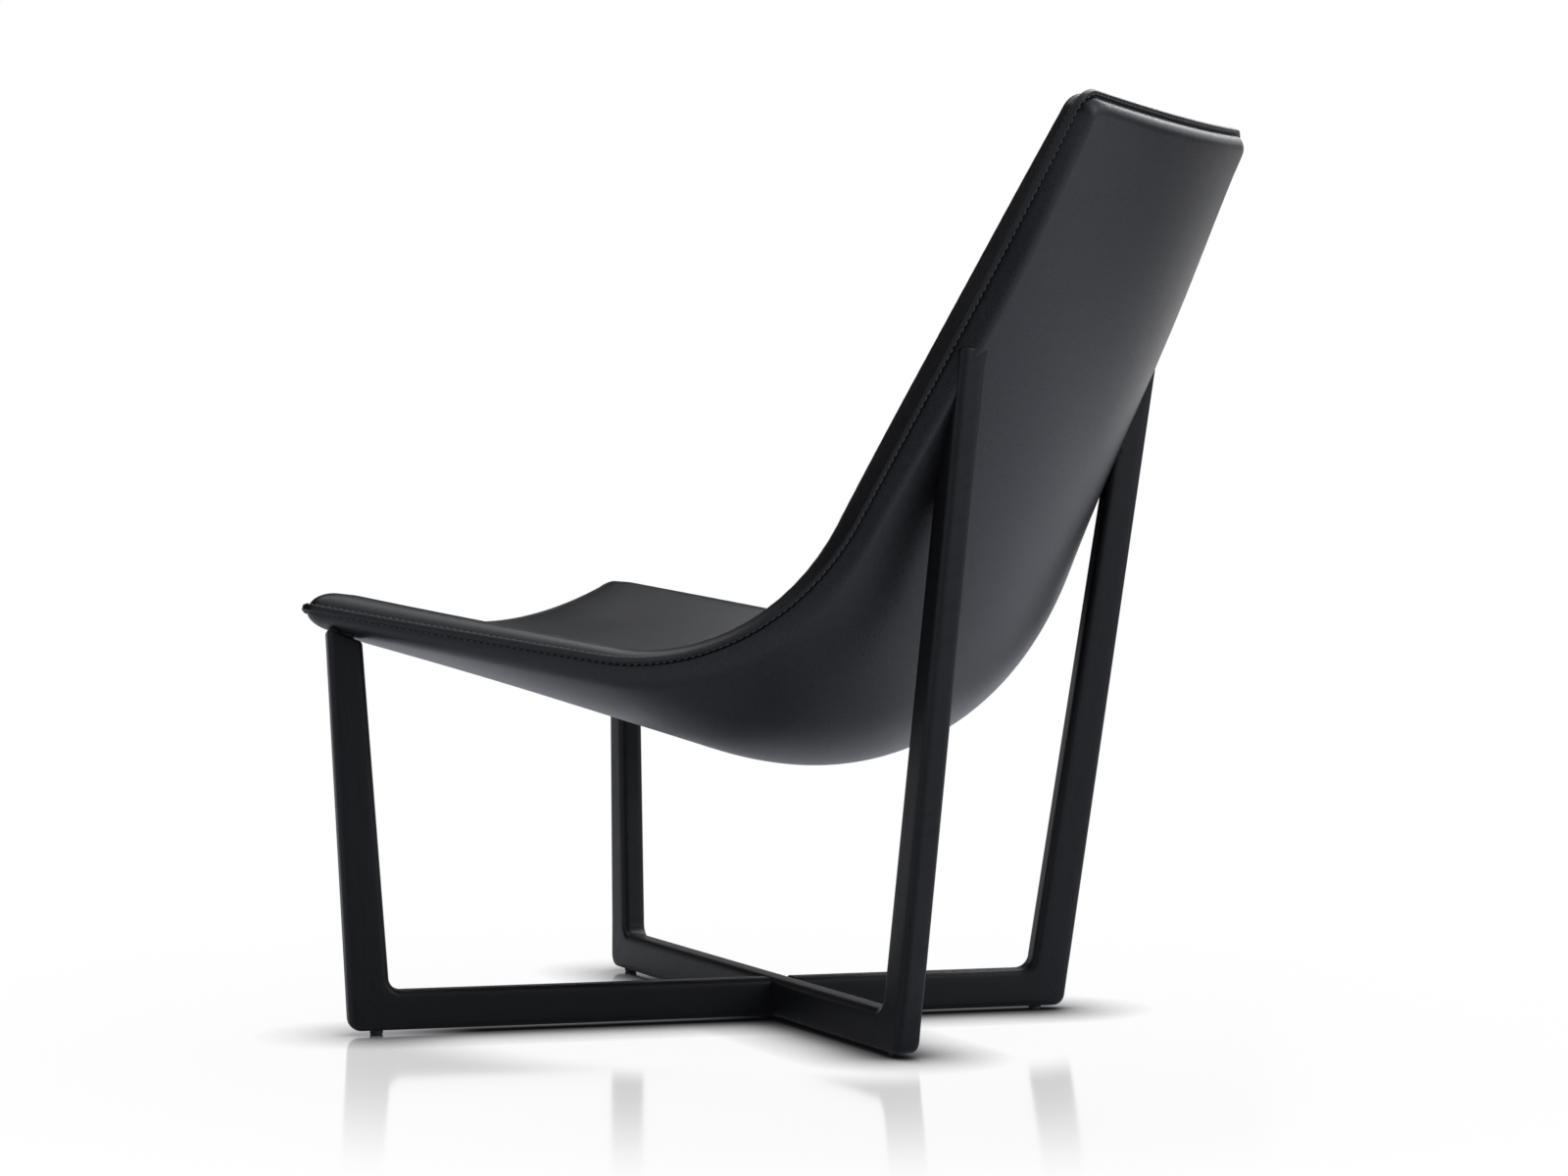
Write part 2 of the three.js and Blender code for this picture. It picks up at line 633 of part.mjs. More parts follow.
function frame({ hand, frontName, rearName, railName, lap }) {
  const group = new THREE.Group();
  group.rotation.z = hand * frameAngle - Math.PI / 2;
  group.updateMatrixWorld();
  const toFrame = group.matrixWorld.clone().invert();
  const tools = [railEnd(legs.front), railEnd(legs.rear), lapTool(hand, ...lap)];

  for (const [leg, name] of [[legs.front, frontName], [legs.rear, rearName]]) {
    const isFront = leg === legs.front;
    const place = group.matrixWorld;
    const rearSpot = (drop) => nearestSpot(legAxis(leg, hand, leg.top - drop).applyMatrix4(place));
    const spots = isFront ? [frontSpot(leg, hand, place)] : rearScrewDrops.map(rearSpot);
    const length = isFront ? frontScrewLength : rearScrewLength;
    const matrices = spots.map((spot) => shellScrewMatrix(spot, length));
    const holes = matrices.map((matrix) => screw(length, gap, coreThickness).applyMatrix4(matrix));
    shellHoles.push(...holes);

    const stand = isFront ? gap + spacerThickness + gap : gap;
    const trim = trimTool(stand).applyMatrix4(toFrame);
    const pinHole = peg(pinDiameter + 2 * gap, pinDepth + gap);
    pinHole.translate(glidePlace(leg), 0, glideHeight + (pinDepth + gap) / 2);
    const bores = dowelHeights.map((z) => dowelHole(leg, z));
    const screwHoles = holes.map((hole) => hole.clone().applyMatrix4(toFrame));
    const blank = legBlank(leg, hand, glideHeight);
    group.add(node(`${name}_leg`, cut(blank, trim, pinHole, ...bores, ...screwHoles), lacqueredWood));
    tools.push(...bores);

    dowelHeights.forEach((z, k) => {
      const dowel = node(`${name}_dowel_${k + 1}`, peg(dowelDiameter, dowelLength), beech);
      dowel.position.copy(dowelPlace(leg, z));
      dowel.rotation.y = Math.PI / 2;
      group.add(dowel);
    });

    const foot = node(`${name}_glide`, glide(), plastic);
    foot.position.x = glidePlace(leg);
    const pin = node(`${name}_glide_pin`, peg(pinDiameter, pinDepth + pinSeat), steel);
    pin.position.set(glidePlace(leg), 0, pinBottom + (pinDepth + pinSeat) / 2);
    group.add(foot, pin);

    matrices.forEach((matrix, k) => {
      const suffix = matrices.length > 1 ? `_${k + 1}` : "";
      const fixing = node(`${name}_shell_screw${suffix}`, screw(length, 0, 0), steel);
      fixing.applyMatrix4(matrix);
      chair.add(fixing);
    });

    if (isFront) {
      const slab = layer([-trimOverhang, ...leatherInsets], belowSkin(gap), belowSkin(gap + spacerThickness));
      const disc = peg(spacerDiameter, length).translate(0, 0, length / 2).applyMatrix4(matrices[0]);
      chair.add(node(`${name}_spacer`, cut(common(disc, slab), ...holes), fibre));
    }
  }

  const lapHole = screw(lapScrewLength, gap, toolReach).rotateX(Math.PI).translate(0, 0, lapScrewTip);
  group.add(node(railName, cut(railBlank(), ...tools, lapHole), lacqueredWood));
  return group;
}

chair.add(frame({
  hand: 1, frontName: "front_left", rearName: "rear_right", railName: "lower_rail",
  lap: [lapLevel - gap / 2, railTop + toolReach],
}));
chair.add(frame({
  hand: -1, frontName: "front_right", rearName: "rear_left", railName: "upper_rail",
  lap: [glideHeight - toolReach, lapLevel + gap / 2],
}));

const lapScrew = node("lap_screw", screw(lapScrewLength, 0, 0), steel);
lapScrew.rotation.x = Math.PI;
lapScrew.position.z = lapScrewTip;
chair.add(lapScrew);

chair.add(
  node("shell_core", cut(core, ...shellHoles), plywood),
  node("seat_foam", seatFoam, foam),
  node("back_foam", cut(backFoam, ...shellHoles), foam),
  node("inner_leather", innerLeather, leather),
  node("outer_leather", cut(outerLeather, ...shellHoles), leather),
  node("seam_thread", seamThread(), thread),
);

// The origin lies on the floor under the middle of the whole chair
const part = new THREE.Group();
part.add(chair);
part.updateMatrixWorld(true);
const bounds = new THREE.Box3().setFromObject(part, true);
const centre = bounds.getCenter(new THREE.Vector3());
chair.position.set(-centre.x, -centre.y, -bounds.min.z);

export default part;
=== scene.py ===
# Lounge chair: a padded leather bucket on two crossed frames of lacquered timber
import math

import bpy
import numpy as np
from mathutils import Matrix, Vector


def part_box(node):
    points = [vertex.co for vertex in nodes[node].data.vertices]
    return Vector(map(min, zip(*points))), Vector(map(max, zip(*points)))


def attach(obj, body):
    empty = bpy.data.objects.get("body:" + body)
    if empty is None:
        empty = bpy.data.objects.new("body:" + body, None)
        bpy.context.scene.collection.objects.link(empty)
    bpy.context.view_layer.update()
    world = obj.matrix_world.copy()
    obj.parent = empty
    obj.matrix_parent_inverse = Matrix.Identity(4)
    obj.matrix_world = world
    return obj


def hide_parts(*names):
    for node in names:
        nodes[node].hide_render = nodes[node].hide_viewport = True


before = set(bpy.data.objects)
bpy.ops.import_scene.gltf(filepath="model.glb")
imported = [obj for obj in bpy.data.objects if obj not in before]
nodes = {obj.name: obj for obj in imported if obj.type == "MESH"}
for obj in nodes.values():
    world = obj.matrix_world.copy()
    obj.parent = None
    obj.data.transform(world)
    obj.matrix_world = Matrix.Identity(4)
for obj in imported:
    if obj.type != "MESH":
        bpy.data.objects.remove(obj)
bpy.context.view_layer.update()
scene = bpy.context.scene
lapLow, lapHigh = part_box("lap_screw")
crossing = np.array([0.0, (lapLow.y + lapHigh.y) / 2, 0.0])  # where the rails cross, metres
print("frame loaded:", len(nodes), "nodes, rails cross at y", round(float(crossing[1]), 4))

# All shapes below are in millimetres from the rails' crossing on the floor
bucket = {
    "rim": ((-347.5, 393.2), (118.9, 329.5), (382.6, 835.0)),  # front, bend and top, seen from the side
    "rimRadius": 226.0,
    "middle": ((-347.5, 357.8), (160.0, 215.0), (395.6, 828.0)),
    "middleRadius": 192.6,
    "halfWidths": (296.0, 318.0, 221.8, 207.0),  # pulls of a cubic curve from front to top
    "frontCorner": 26.0,
    "topCorner": 22.0,
    "lip": 5.4,  # flat seam round the rim
    "roll": 26.0,  # soft edge between the lip and the full pad
    "rollAtFront": 50.0,  # wider along the seat's front edge
    "rollAtBack": 12.0,  # tighter on the sitter's side of the back
    "rollAtTop": 9.0,  # outside, the back's top has a tight roll
    "bevelAtBack": 14.0,  # and its sides a bevel this wide
    "bevelSlope": 0.78,  # share of that width at which the slope alone would reach the full height
    "bevelNorm": 6,  # a higher norm makes its shoulder tighter
    "bevelShare": 0.9,  # the rest is still a roll
}


# Two straights and the arc that touches both: an arc of this radius fits into the angle at the bend
def bentLine(points, radius):
    start, bend, end = (np.array(p) for p in points)
    toStart = (start - bend) / np.linalg.norm(start - bend)
    toEnd = (end - bend) / np.linalg.norm(end - bend)
    half = math.acos(toStart @ toEnd) / 2
    arcStart = bend + toStart * radius / math.tan(half)
    arcEnd = bend + toEnd * radius / math.tan(half)
    inward = (toStart + toEnd) / np.linalg.norm(toStart + toEnd)
    centre = bend + inward * radius / math.sin(half)
    first = math.atan2(*(arcStart - centre)[::-1])
    turn = math.pi - 2 * half
    lengths = [np.linalg.norm(start - arcStart), radius * turn, np.linalg.norm(end - arcEnd)]

    def at(u, seatShare, bendShare):
        u = np.asarray(u, float)
        onSeat = start + (arcStart - start) * (u / seatShare)[..., None]
        onBack = arcEnd + (end - arcEnd) * ((u - bendShare) / (1 - bendShare))[..., None]
        angle = first + turn * (u - seatShare) / (bendShare - seatShare)
        onArc = centre + radius * np.stack([np.cos(angle), np.sin(angle)], -1)
        onSeatOrArc = np.where((u < seatShare)[..., None], onSeat, onArc)
        return np.where((u > bendShare)[..., None], onBack, onSeatOrArc)

    return at, lengths


rimLine, rimLengths = bentLine(bucket["rim"], bucket["rimRadius"])
middleLine, _ = bentLine(bucket["middle"], bucket["middleRadius"])
bucketLength = sum(rimLengths)
seatShare = rimLengths[0] / bucketLength
bendShare = 1 - rimLengths[2] / bucketLength


def rimAt(u):  # the rim seen from the side, at share u of its length
    return rimLine(u, seatShare, bendShare)


def middleAt(u):  # the middle line seen from the side
    return middleLine(u, seatShare, bendShare)


# Half width: a cubic Bezier curve of the four pulls
def halfWidth(u):
    left = 1 - u
    front, frontPull, topPull, top = bucket["halfWidths"]
    return front * left**3 + 3 * frontPull * u * left**2 + 3 * topPull * u**2 * left + top * u**3


# Middle surface: each section across is a parabola from the middle line up to the rim
def bucketPoint(u, side):
    low, high = middleAt(u), rimAt(u)
    section = low + (high - low) * (side**2)[..., None]
    return np.concatenate([(halfWidth(u) * side)[..., None], section], -1)


# Normal to the sitter's side: slope across times slope along, by small differences
def bucketNormal(u, side, step=1e-4):
    along = bucketPoint(u + step, side) - bucketPoint(u - step, side)
    across = bucketPoint(u, side + step) - bucketPoint(u, side - step)
    normal = np.cross(across, along)
    return normal / np.linalg.norm(normal, axis=-1, keepdims=True)


def edgeLean(u):  # share of a distance across the rim's slope that counts sideways
    rise = 2 * np.linalg.norm(rimAt(u) - middleAt(u), axis=-1) / halfWidth(u)
    return 1 / np.hypot(1, rise)


# Rounded corner: a square grid's corner is wrapped onto quarter circles that keep each distance from the rim
def roundCorner(fromEnd, fromSide, radius):
    inset = np.minimum(fromEnd, fromSide)
    other = np.maximum(fromEnd, fromSide)
    left = np.maximum(radius - inset, 1e-6)
    angle = np.pi / 4 * (1 + np.clip((other - inset) / left, 0, 1))
    near, far = radius - left * np.sin(angle), radius - left * np.cos(angle)
    endFirst = fromEnd <= fromSide
    inCorner = other < radius
    newEnd = np.where(inCorner, np.where(endFirst, near, far), fromEnd)
    newSide = np.where(inCorner, np.where(endFirst, far, near), fromSide)
    return newEnd, newSide


# Spots on the bucket: rows at a distance from the front, columns at an inset from a side or at a share across
def bucketSpots(rows, insets, hands, shares, padEdge):
    fromEnd = np.minimum(rows, bucketLength - rows)[:, None]
    atFront = (rows < bucketLength / 2)[:, None]
    radius = np.where(atFront, bucket["frontCorner"], bucket["topCorner"])
    newEnd, newSide = roundCorner(fromEnd, np.where(hands == 0, np.inf, insets)[None, :], radius)
    u = np.where(atFront, newEnd, bucketLength - newEnd) / bucketLength
    width, lean = halfWidth(u), edgeLean(u)
    newSide = np.where(np.isinf(newSide), 0, newSide)
    x = np.where(hands == 0, shares * (width - padEdge * lean), hands * (width - newSide * lean))
    return u, x / width


# Grid over the whole bucket: the edge insets at every side, even steps between them
def bucketGrid(edgeInsets, alongStep, acrossStep):
    last = edgeInsets[-1]
    alongCount = round((bucketLength - 2 * last) / alongStep)
    acrossCount = round(2 * bucket["halfWidths"][0] / acrossStep)
    inner = np.linspace(last, bucketLength - last, alongCount + 1)[1:-1]
    rows = np.concatenate([edgeInsets, inner, bucketLength - edgeInsets[::-1]])
    shares = np.linspace(-1, 1, acrossCount + 1)[1:-1]
    flat = np.zeros(len(edgeInsets))
    insets = np.concatenate([edgeInsets, np.full(len(shares), last), edgeInsets[::-1]])
    hands = np.concatenate([flat - 1, shares * 0, flat + 1])
    u, side = bucketSpots(rows, insets, hands, np.concatenate([flat, shares, flat]), last)
    fromEnd = np.broadcast_to(np.minimum(rows, bucketLength - rows)[:, None], u.shape)
    fromSide = np.broadcast_to(insets[None, :], u.shape)
    return u, side, fromEnd, fromSide


# Mesh from points in millimetres, faces of any number of corners, and vectors that the material reads
def makePiece(name, points, faces, sharpAngle=45.0, **layers):
    mesh = bpy.data.meshes.new(name)
    mesh.from_pydata((points / 1000 + crossing).tolist(), [], faces)
    mesh.polygons.foreach_set("use_smooth", np.ones(len(mesh.polygons), bool))
    mesh.set_sharp_from_angle(angle=math.radians(sharpAngle))
    for layerName, values in layers.items():
        layer = mesh.attributes.new(layerName, "FLOAT_VECTOR", "POINT")
        layer.data.foreach_set("vector", (values / 1000).astype(np.float32).ravel())
    mesh.update()
    piece = bpy.data.objects.new(name, mesh)
    scene.collection.objects.link(piece)
    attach(piece, "root")
    return piece


# Quads of a grid of ids, row by row
def gridFaces(ids):
    return np.stack([ids[:-1, :-1], ids[:-1, 1:], ids[1:, 1:], ids[1:, :-1]], -1).reshape(-1, 4)


# Closed layer: two offsets from the middle surface along its normal, joined round the rim.
# Its vectors, named hide, hold the inset from the rim and the places along and across
def closedLayer(name, u, side, upper, lower, fromEnd, fromSide):
    base, normal = bucketPoint(u, side), bucketNormal(u, side)
    points = np.concatenate([
        (base + normal * upper[..., None]).reshape(-1, 3),
        (base + normal * lower[..., None]).reshape(-1, 3),
    ])
    ids = np.arange(u.size).reshape(u.shape)
    loop = np.concatenate([ids[0, :-1], ids[:-1, -1], ids[-1, :0:-1], ids[:0:-1, 0]])
    after = np.roll(loop, -1)
    rim = np.stack([after, loop, loop + u.size, after + u.size], -1)
    under = gridFaces(ids)[:, ::-1] + u.size
    faces = np.concatenate([gridFaces(ids), under, rim]).tolist()
    place = np.stack([np.minimum(fromEnd, fromSide), u * bucketLength, side * halfWidth(u)], -1)
    return makePiece(name, points, faces, hide=np.concatenate([place, place]).reshape(-1, 3))


# Padding from the lip to the full height: a quarter ellipse, or a straight slope and the flat blended by a
# norm. Round a corner the end's roll changes to the side's
def padRise(fromEnd, fromSide, start, endRoll, sideRoll, bevel):
    atSide = np.clip(0.5 + (fromEnd - fromSide) / (2 * bucket["topCorner"]), 0, 1)
    roll = endRoll + (sideRoll - endRoll) * atSide
    share = np.clip((np.minimum(fromEnd, fromSide) - start) / (bucket["lip"] + roll - start), 0, 1)
    ellipse = np.sqrt(1 - (1 - share) ** 2)
    slope, norm = bucket["bevelSlope"], bucket["bevelNorm"]
    shoulder = ((np.maximum(share / slope, 1e-6) ** -norm + 1) / (slope**norm + 1)) ** (-1 / norm)
    return ellipse + (shoulder - ellipse) * bevel * atSide


skins = {
    "leather": 1.8,
    "halfSeam": 0.15,  # half the space between the skins in the lip
    "innerFaces": (22.8, 33.0, 16.4),  # middle surface to the sitter's face: seat, small of the back, top
    "outerFace": 14.8,
    "backCrown": 4.5,  # outside, the back is so much fuller half way up
    "bead": 1.3,  # the turned edge stands this much above the leather
    "beadEnd": 0.9,  # and ends so far from the lip's end
    "edgeStops": (0.0, 0.12, 0.35, 0.7, 1.2, 1.8, 2.5, 3.1, 3.6, 4.0, 4.3, 4.5, 4.9),
    "rollStops": (
        0.0, 0.15, 0.45, 0.9, 1.5, 2.3, 3.3, 4.5, 6.0, 7.8,
        10.0, 12.0, 13.5, 15.0, 16.5, 18.0, 19.5, 21.5, 26.0,
    ),
    "alongStep": 5.0,
    "acrossStep": 8.5,
}
waves = {
    "slack": 0.22,  # slow waves of the leather, which only sink into the foam
    "slackAlong": (61.0, 140.0),  # their lengths along and across the bucket, over two pi
    "slackAcross": (88.0, 97.0),
    "slackSway": 1.3,
    "pucker": 0.2,  # gathers beside the seam
    "puckerLength": 17.0,
    "puckerSway": 1.7,
    "puckerSwayLength": 53.0,
    "puckerInset": 13.0,  # they are deepest this far from the edge, and die away over this reach
    "puckerReach": 9.0,
    "puckerEverywhere": 0.35,  # share of them away from the bend, and how far along the rim the bend reaches
    "puckerBend": 0.12,
    "phases": (0.0, 2.1),  # of the inner and the outer skin
}
skinInsets = np.concatenate([skins["edgeStops"], bucket["lip"] + np.array(skins["rollStops"])])


def backness(u):  # eased from the end of the seat to the start of the back
    turn = np.clip((u - seatShare) / (bendShare - seatShare), 0, 1)
    return turn * turn * (3 - 2 * turn)


def upTheBack(u):  # share of the way from the bend's end to the top
    return np.clip((u - bendShare) / (1 - bendShare), 0, 1)


# Sitter's pad: thicker to the small of the back, then thinner by a square law up to the top.
# Gives the height, the rolls at the ends and sides, and the share of the bevel
def innerPad(u):
    seat, lumbar, top = skins["innerFaces"]
    lower = seat + (lumbar - seat) * backness(u)
    endRoll = bucket["rollAtFront"] + (bucket["rollAtBack"] - bucket["rollAtFront"]) * backness(u)
    sideRoll = bucket["roll"] + (bucket["rollAtBack"] - bucket["roll"]) * backness(u)
    return lower + (top - lower) * upTheBack(u) ** 2, endRoll, sideRoll, 0.0


# Outer pad: even height with a crown on the back, a squared sine from its foot to its top.
# On the back the sides' roll changes to a bevel
def outerPad(u):
    face = skins["outerFace"] + skins["backCrown"] * np.sin(np.pi * upTheBack(u)) ** 2
    sideRoll = bucket["roll"] + (bucket["bevelAtBack"] - bucket["roll"]) * backness(u)
    endRoll = bucket["roll"] + (bucket["rollAtTop"] - bucket["roll"]) * backness(u)
    return face, endRoll, sideRoll, bucket["bevelShare"] * backness(u)


# How far the leather sinks into the foam: slow waves all over, and short gathers beside the seam
def leatherSink(fromEnd, fromSide, u, side, rise, phase):
    along = u * bucketLength
    x = side * halfWidth(u)
    (firstAlong, nextAlong), (firstAcross, nextAcross) = waves["slackAlong"], waves["slackAcross"]
    slow = np.sin(along / firstAlong + waves["slackSway"] * np.sin(x / firstAcross + phase))
    slow = slow * np.cos(x / nextAcross - along / nextAlong + phase)
    inset = np.minimum(fromEnd, fromSide)
    nearSeam = np.exp(-(((inset - waves["puckerInset"]) / waves["puckerReach"]) ** 2)) * rise
    fromBend = (u - (seatShare + bendShare) / 2) / waves["puckerBend"]
    strength = waves["pucker"] * (waves["puckerEverywhere"] + np.exp(-(fromBend**2))) * nearSeam
    path = np.where(fromSide < fromEnd, along, x)
    sway = waves["puckerSway"] * np.sin(path / waves["puckerSwayLength"] + phase)
    gathers = 1 - np.sin(path / waves["puckerLength"] * 2 * np.pi + sway)
    return waves["slack"] * (1 - slow) * rise**2 + strength * gathers


# Leather over foam: half an ellipse for the turned edge and the rise of the padding, less what it sinks
def leatherOffsets(fromEnd, fromSide, u, side, pad, phase):
    thick, seam = skins["leather"], skins["halfSeam"]
    face, *edges = pad(u)
    outRise = padRise(fromEnd, fromSide, bucket["lip"], *edges)
    inRise = padRise(fromEnd, fromSide, bucket["lip"] + thick, *edges)
    inset = np.minimum(fromEnd, fromSide)
    across = np.clip(2 * inset / (bucket["lip"] - skins["beadEnd"]) - 1, -1, 1)
    outside = seam + thick + (face - seam - thick) * outRise + skins["bead"] * np.sqrt(1 - across**2)
    inside = seam + (face - thick - seam) * inRise
    return outside - leatherSink(fromEnd, fromSide, u, side, outRise, phase), inside


u, side, fromEnd, fromSide = bucketGrid(skinInsets, skins["alongStep"], skins["acrossStep"])
top, under = leatherOffsets(fromEnd, fromSide, u, side, innerPad, waves["phases"][0])
innerLeather = closedLayer("innerLeather", u, side, top, under, fromEnd, fromSide)
top, under = leatherOffsets(fromEnd, fromSide, u, side, outerPad, waves["phases"][1])
outerLeather = closedLayer("outerLeather", u, side, -under, -top, fromEnd, fromSide)
print("leather skins:", len(innerLeather.data.polygons), "faces each")

pads = {
    "gap": 0.3,
    "coreHalf": 5.0,
    "seatRamp": 15.44,  # from here inwards the pad lies on the plywood
    "least": 0.2,  # its thinnest
    "edgeStops": (10.8, 12.2, 13.8, 17.5, 20.0, 23.0, 26.5, 30.0, 34.0),
    "alongStep": 18.0,
    "acrossStep": 18.0,
}


# Foam pad: from just under its leather down to the plywood, thinning out to nothing inside the roll
def foamOffsets(fromEnd, fromSide, u, pad):
    seam, thick = skins["halfSeam"], skins["leather"]
    face, *edges = pad(u)
    rise = padRise(fromEnd, fromSide, bucket["lip"] + thick, *edges)
    crown = seam + (face - thick - seam) * rise - pads["gap"]
    inset = np.minimum(fromEnd, fromSide)
    seat = np.where(inset < pads["seatRamp"], seam, pads["coreHalf"] + pads["gap"])
    return np.maximum(crown, seat + pads["least"]), seat


padInsets = np.sort([*pads["edgeStops"], pads["seatRamp"]])
u, side, fromEnd, fromSide = bucketGrid(padInsets, pads["alongStep"], pads["acrossStep"])
crown, seat = foamOffsets(fromEnd, fromSide, u, innerPad)
seatFoam = closedLayer("seatFoam", u, side, crown, seat, fromEnd, fromSide)
crown, seat = foamOffsets(fromEnd, fromSide, u, outerPad)
backFoam = closedLayer("backFoam", u, side, -seat, -crown, fromEnd, fromSide)
print("foam pads:", len(seatFoam.data.polygons), "faces each")

stitches = {
    "inset": 2.6,
    "pitch": 6.6,
    "length": 5.2,
    "radius": 0.7,
    "lift": 0.4,  # middle of the thread above the turned edge
    "thinning": 0.45,  # towards its ends
    "rings": 5,
    "sides": 6,
    "samples": 900,  # points along each side and round each corner, by which the row is measured
    "cornerSamples": 60,
}


# Line that runs round the rim at one inset: front, left side, top, right side, evenly spaced by length
def rimPath(inset, pitch):
    ends = np.array([inset, bucketLength - inset])
    rows = np.linspace(inset, bucketLength - inset, stitches["samples"])
    edgeSide = np.geomspace(inset, bucket["lip"] + bucket["roll"], stitches["cornerSamples"])
    shares = np.linspace(-1, 1, stitches["samples"])[1:-1]
    flat = np.zeros(len(edgeSide))
    across = np.concatenate([edgeSide, shares * 0 + edgeSide[-1], edgeSide[::-1]])
    hands = np.concatenate([flat - 1, shares * 0, flat + 1])
    shares = np.concatenate([flat, shares, flat])
    uAcross, sideAcross = bucketSpots(ends, across, hands, shares, edgeSide[-1])
    both = np.array([-1.0, 1.0])
    uAlong, sideAlong = bucketSpots(rows, np.array([inset, inset]), both, both * 0, edgeSide[-1])

    def loop(across, along):  # the four stretches, one after the other
        return np.concatenate([across[0, :-1], along[:-1, 1], across[1, :0:-1], along[:0:-1, 0]])

    uLoop, sideLoop = loop(uAcross, uAlong), loop(sideAcross, sideAlong)
    closed = np.append(np.arange(len(uLoop)), 0)
    points = bucketPoint(uLoop, sideLoop)[closed]
    length = np.concatenate([[0], np.cumsum(np.linalg.norm(np.diff(points, axis=0), axis=1))])
    count = round(length[-1] / pitch)
    places = np.arange(count) * length[-1] / count
    return np.interp(places, length, uLoop[closed]), np.interp(places, length, sideLoop[closed])


# Rows of closed tubes: quads between the rings of each and one face at each end
def tubes(name, rings, sharpAngle=60.0, **layers):
    count, long, sides = rings.shape[:3]
    ids = np.arange(count * long * sides).reshape(count, long, sides)
    turned = np.roll(ids, -1, 2)
    quads = np.stack([ids[:, :-1], turned[:, :-1], turned[:, 1:], ids[:, 1:]], -1).reshape(-1, 4)
    faces = quads.tolist() + ids[:, 0, ::-1].tolist() + ids[:, -1].tolist()
    return makePiece(name, rings.reshape(-1, 3), faces, sharpAngle, **layers)


# Stitch: a thread that rises out of one hole and dips into the next, thinner at both ends
def stitchRow(name):
    u, side = rimPath(stitches["inset"], stitches["pitch"])
    normal = bucketNormal(u, side)
    middle = bucketPoint(u, side)
    along = np.roll(middle, -1, 0) - np.roll(middle, 1, 0)
    along /= np.linalg.norm(along, axis=1, keepdims=True)
    share = np.linspace(-1, 1, stitches["rings"])
    angle = np.arange(stitches["sides"]) * 2 * np.pi / stitches["sides"]
    reach = share * stitches["length"] / 2
    height = stitches["lift"] - (stitches["lift"] + stitches["radius"]) * share**4
    girth = stitches["radius"] * (1 - stitches["thinning"] * share**4)
    rows = []
    for hand in (1, -1):  # the sitter's side of the lip, then the back of it
        up = normal * hand
        across = np.cross(along, up)
        centre = middle + up * (skins["halfSeam"] + skins["leather"] + skins["bead"])
        line = centre[:, None] + along[:, None] * reach[:, None] + up[:, None] * height[:, None]
        ring = (
            across[:, None, None] * (girth[:, None] * np.cos(angle))[..., None]
            + up[:, None, None] * (girth[:, None] * np.sin(angle))[..., None]
        )
        rows.append(line[:, :, None] + ring)
    return tubes(name, np.concatenate(rows))


seamStitches = stitchRow("seamStitches")
print("stitches:", len(seamStitches.data.polygons), "faces")

# Frames: legs and rails are one U-shaped outline each, split at the mitres
timber = {
    "half": 12.3,  # half the thickness
    "edge": 6.5,  # rounding of all long edges
    "floor": 4.0,
    "railTop": 40.0,
    "innerCorner": 13.0,
    "footRound": 11.0,
    "footSteps": 8,
    "mitre": 0.0008,  # half the slit between a leg and a rail, as a share of the corner
    "cornerRings": 14,
    "roundSteps": 6,
    "endSpans": 6,  # faces across the flat of an edge, and up the flat of a side
    "sideSpans": 4,
    "topEdge": 2.6,  # rounding of the legs' top ends
    "topRings": 4,
    "sharpAngle": 38.0,
    "gap": 0.3,
    "seat": 0.1,  # the rear legs' cut lies this close to the leather
    "frontSpot": (16.9, 23.5),  # outer edges of the front legs: in from the rim's corner, sideways and back
    "rearShare": 0.7541,  # share of the rim's length at which the rear legs end
    "rearSpot": (8.9, 22.1),  # outer edges there: in from the rim's side, and out behind it
}
rimFront, rimHeight = bucket["rim"][0]
corner = (bucket["halfWidths"][0] - timber["frontSpot"][0], -rimFront - timber["frontSpot"][1])
frameAngle = math.atan2(*corner)
rimDepth, rearTop = (float(value) for value in rimAt(timber["rearShare"]))
rearDepth = rimDepth + timber["rearSpot"][1]
rearAcross = float(halfWidth(timber["rearShare"])) - timber["rearSpot"][0]
rearAlong = rearDepth * math.cos(frameAngle) + rearAcross * math.sin(frameAngle)
rearAside = rearDepth * math.sin(frameAngle) - rearAcross * math.cos(frameAngle)
frontLeg = {
    "sign": 1,  # ahead of the crossing
    "width": 39.6,
    "lean": 0.0551,  # outwards, per millimetre of height
    "taper": 0.0227,
    "sideLean": 0.014,
    "top": rimHeight,
    "topReach": math.hypot(*corner),  # outer edge from the crossing, at that height
    "rings": 40,
    "spacer": 1.6,
}
rearLeg = {
    "sign": -1,
    "width": 38.4,
    "lean": 0.1386,
    "taper": 0.0118,
    "sideLean": rearAside / rearTop,
    "top": rearTop,
    "topReach": rearAlong,
    "rings": 150,
}
for leg in (frontLeg, rearLeg):
    leg["reach"] = leg["topReach"] - leg["lean"] * leg["top"]


def outerEdge(leg, z):  # a straight that leans outwards with the height
    return leg["reach"] + leg["lean"] * z


def innerEdge(leg, z):  # the leg's width further in, and closer to the outer edge with the height
    return leg["reach"] - leg["width"] + (leg["lean"] + leg["taper"]) * z


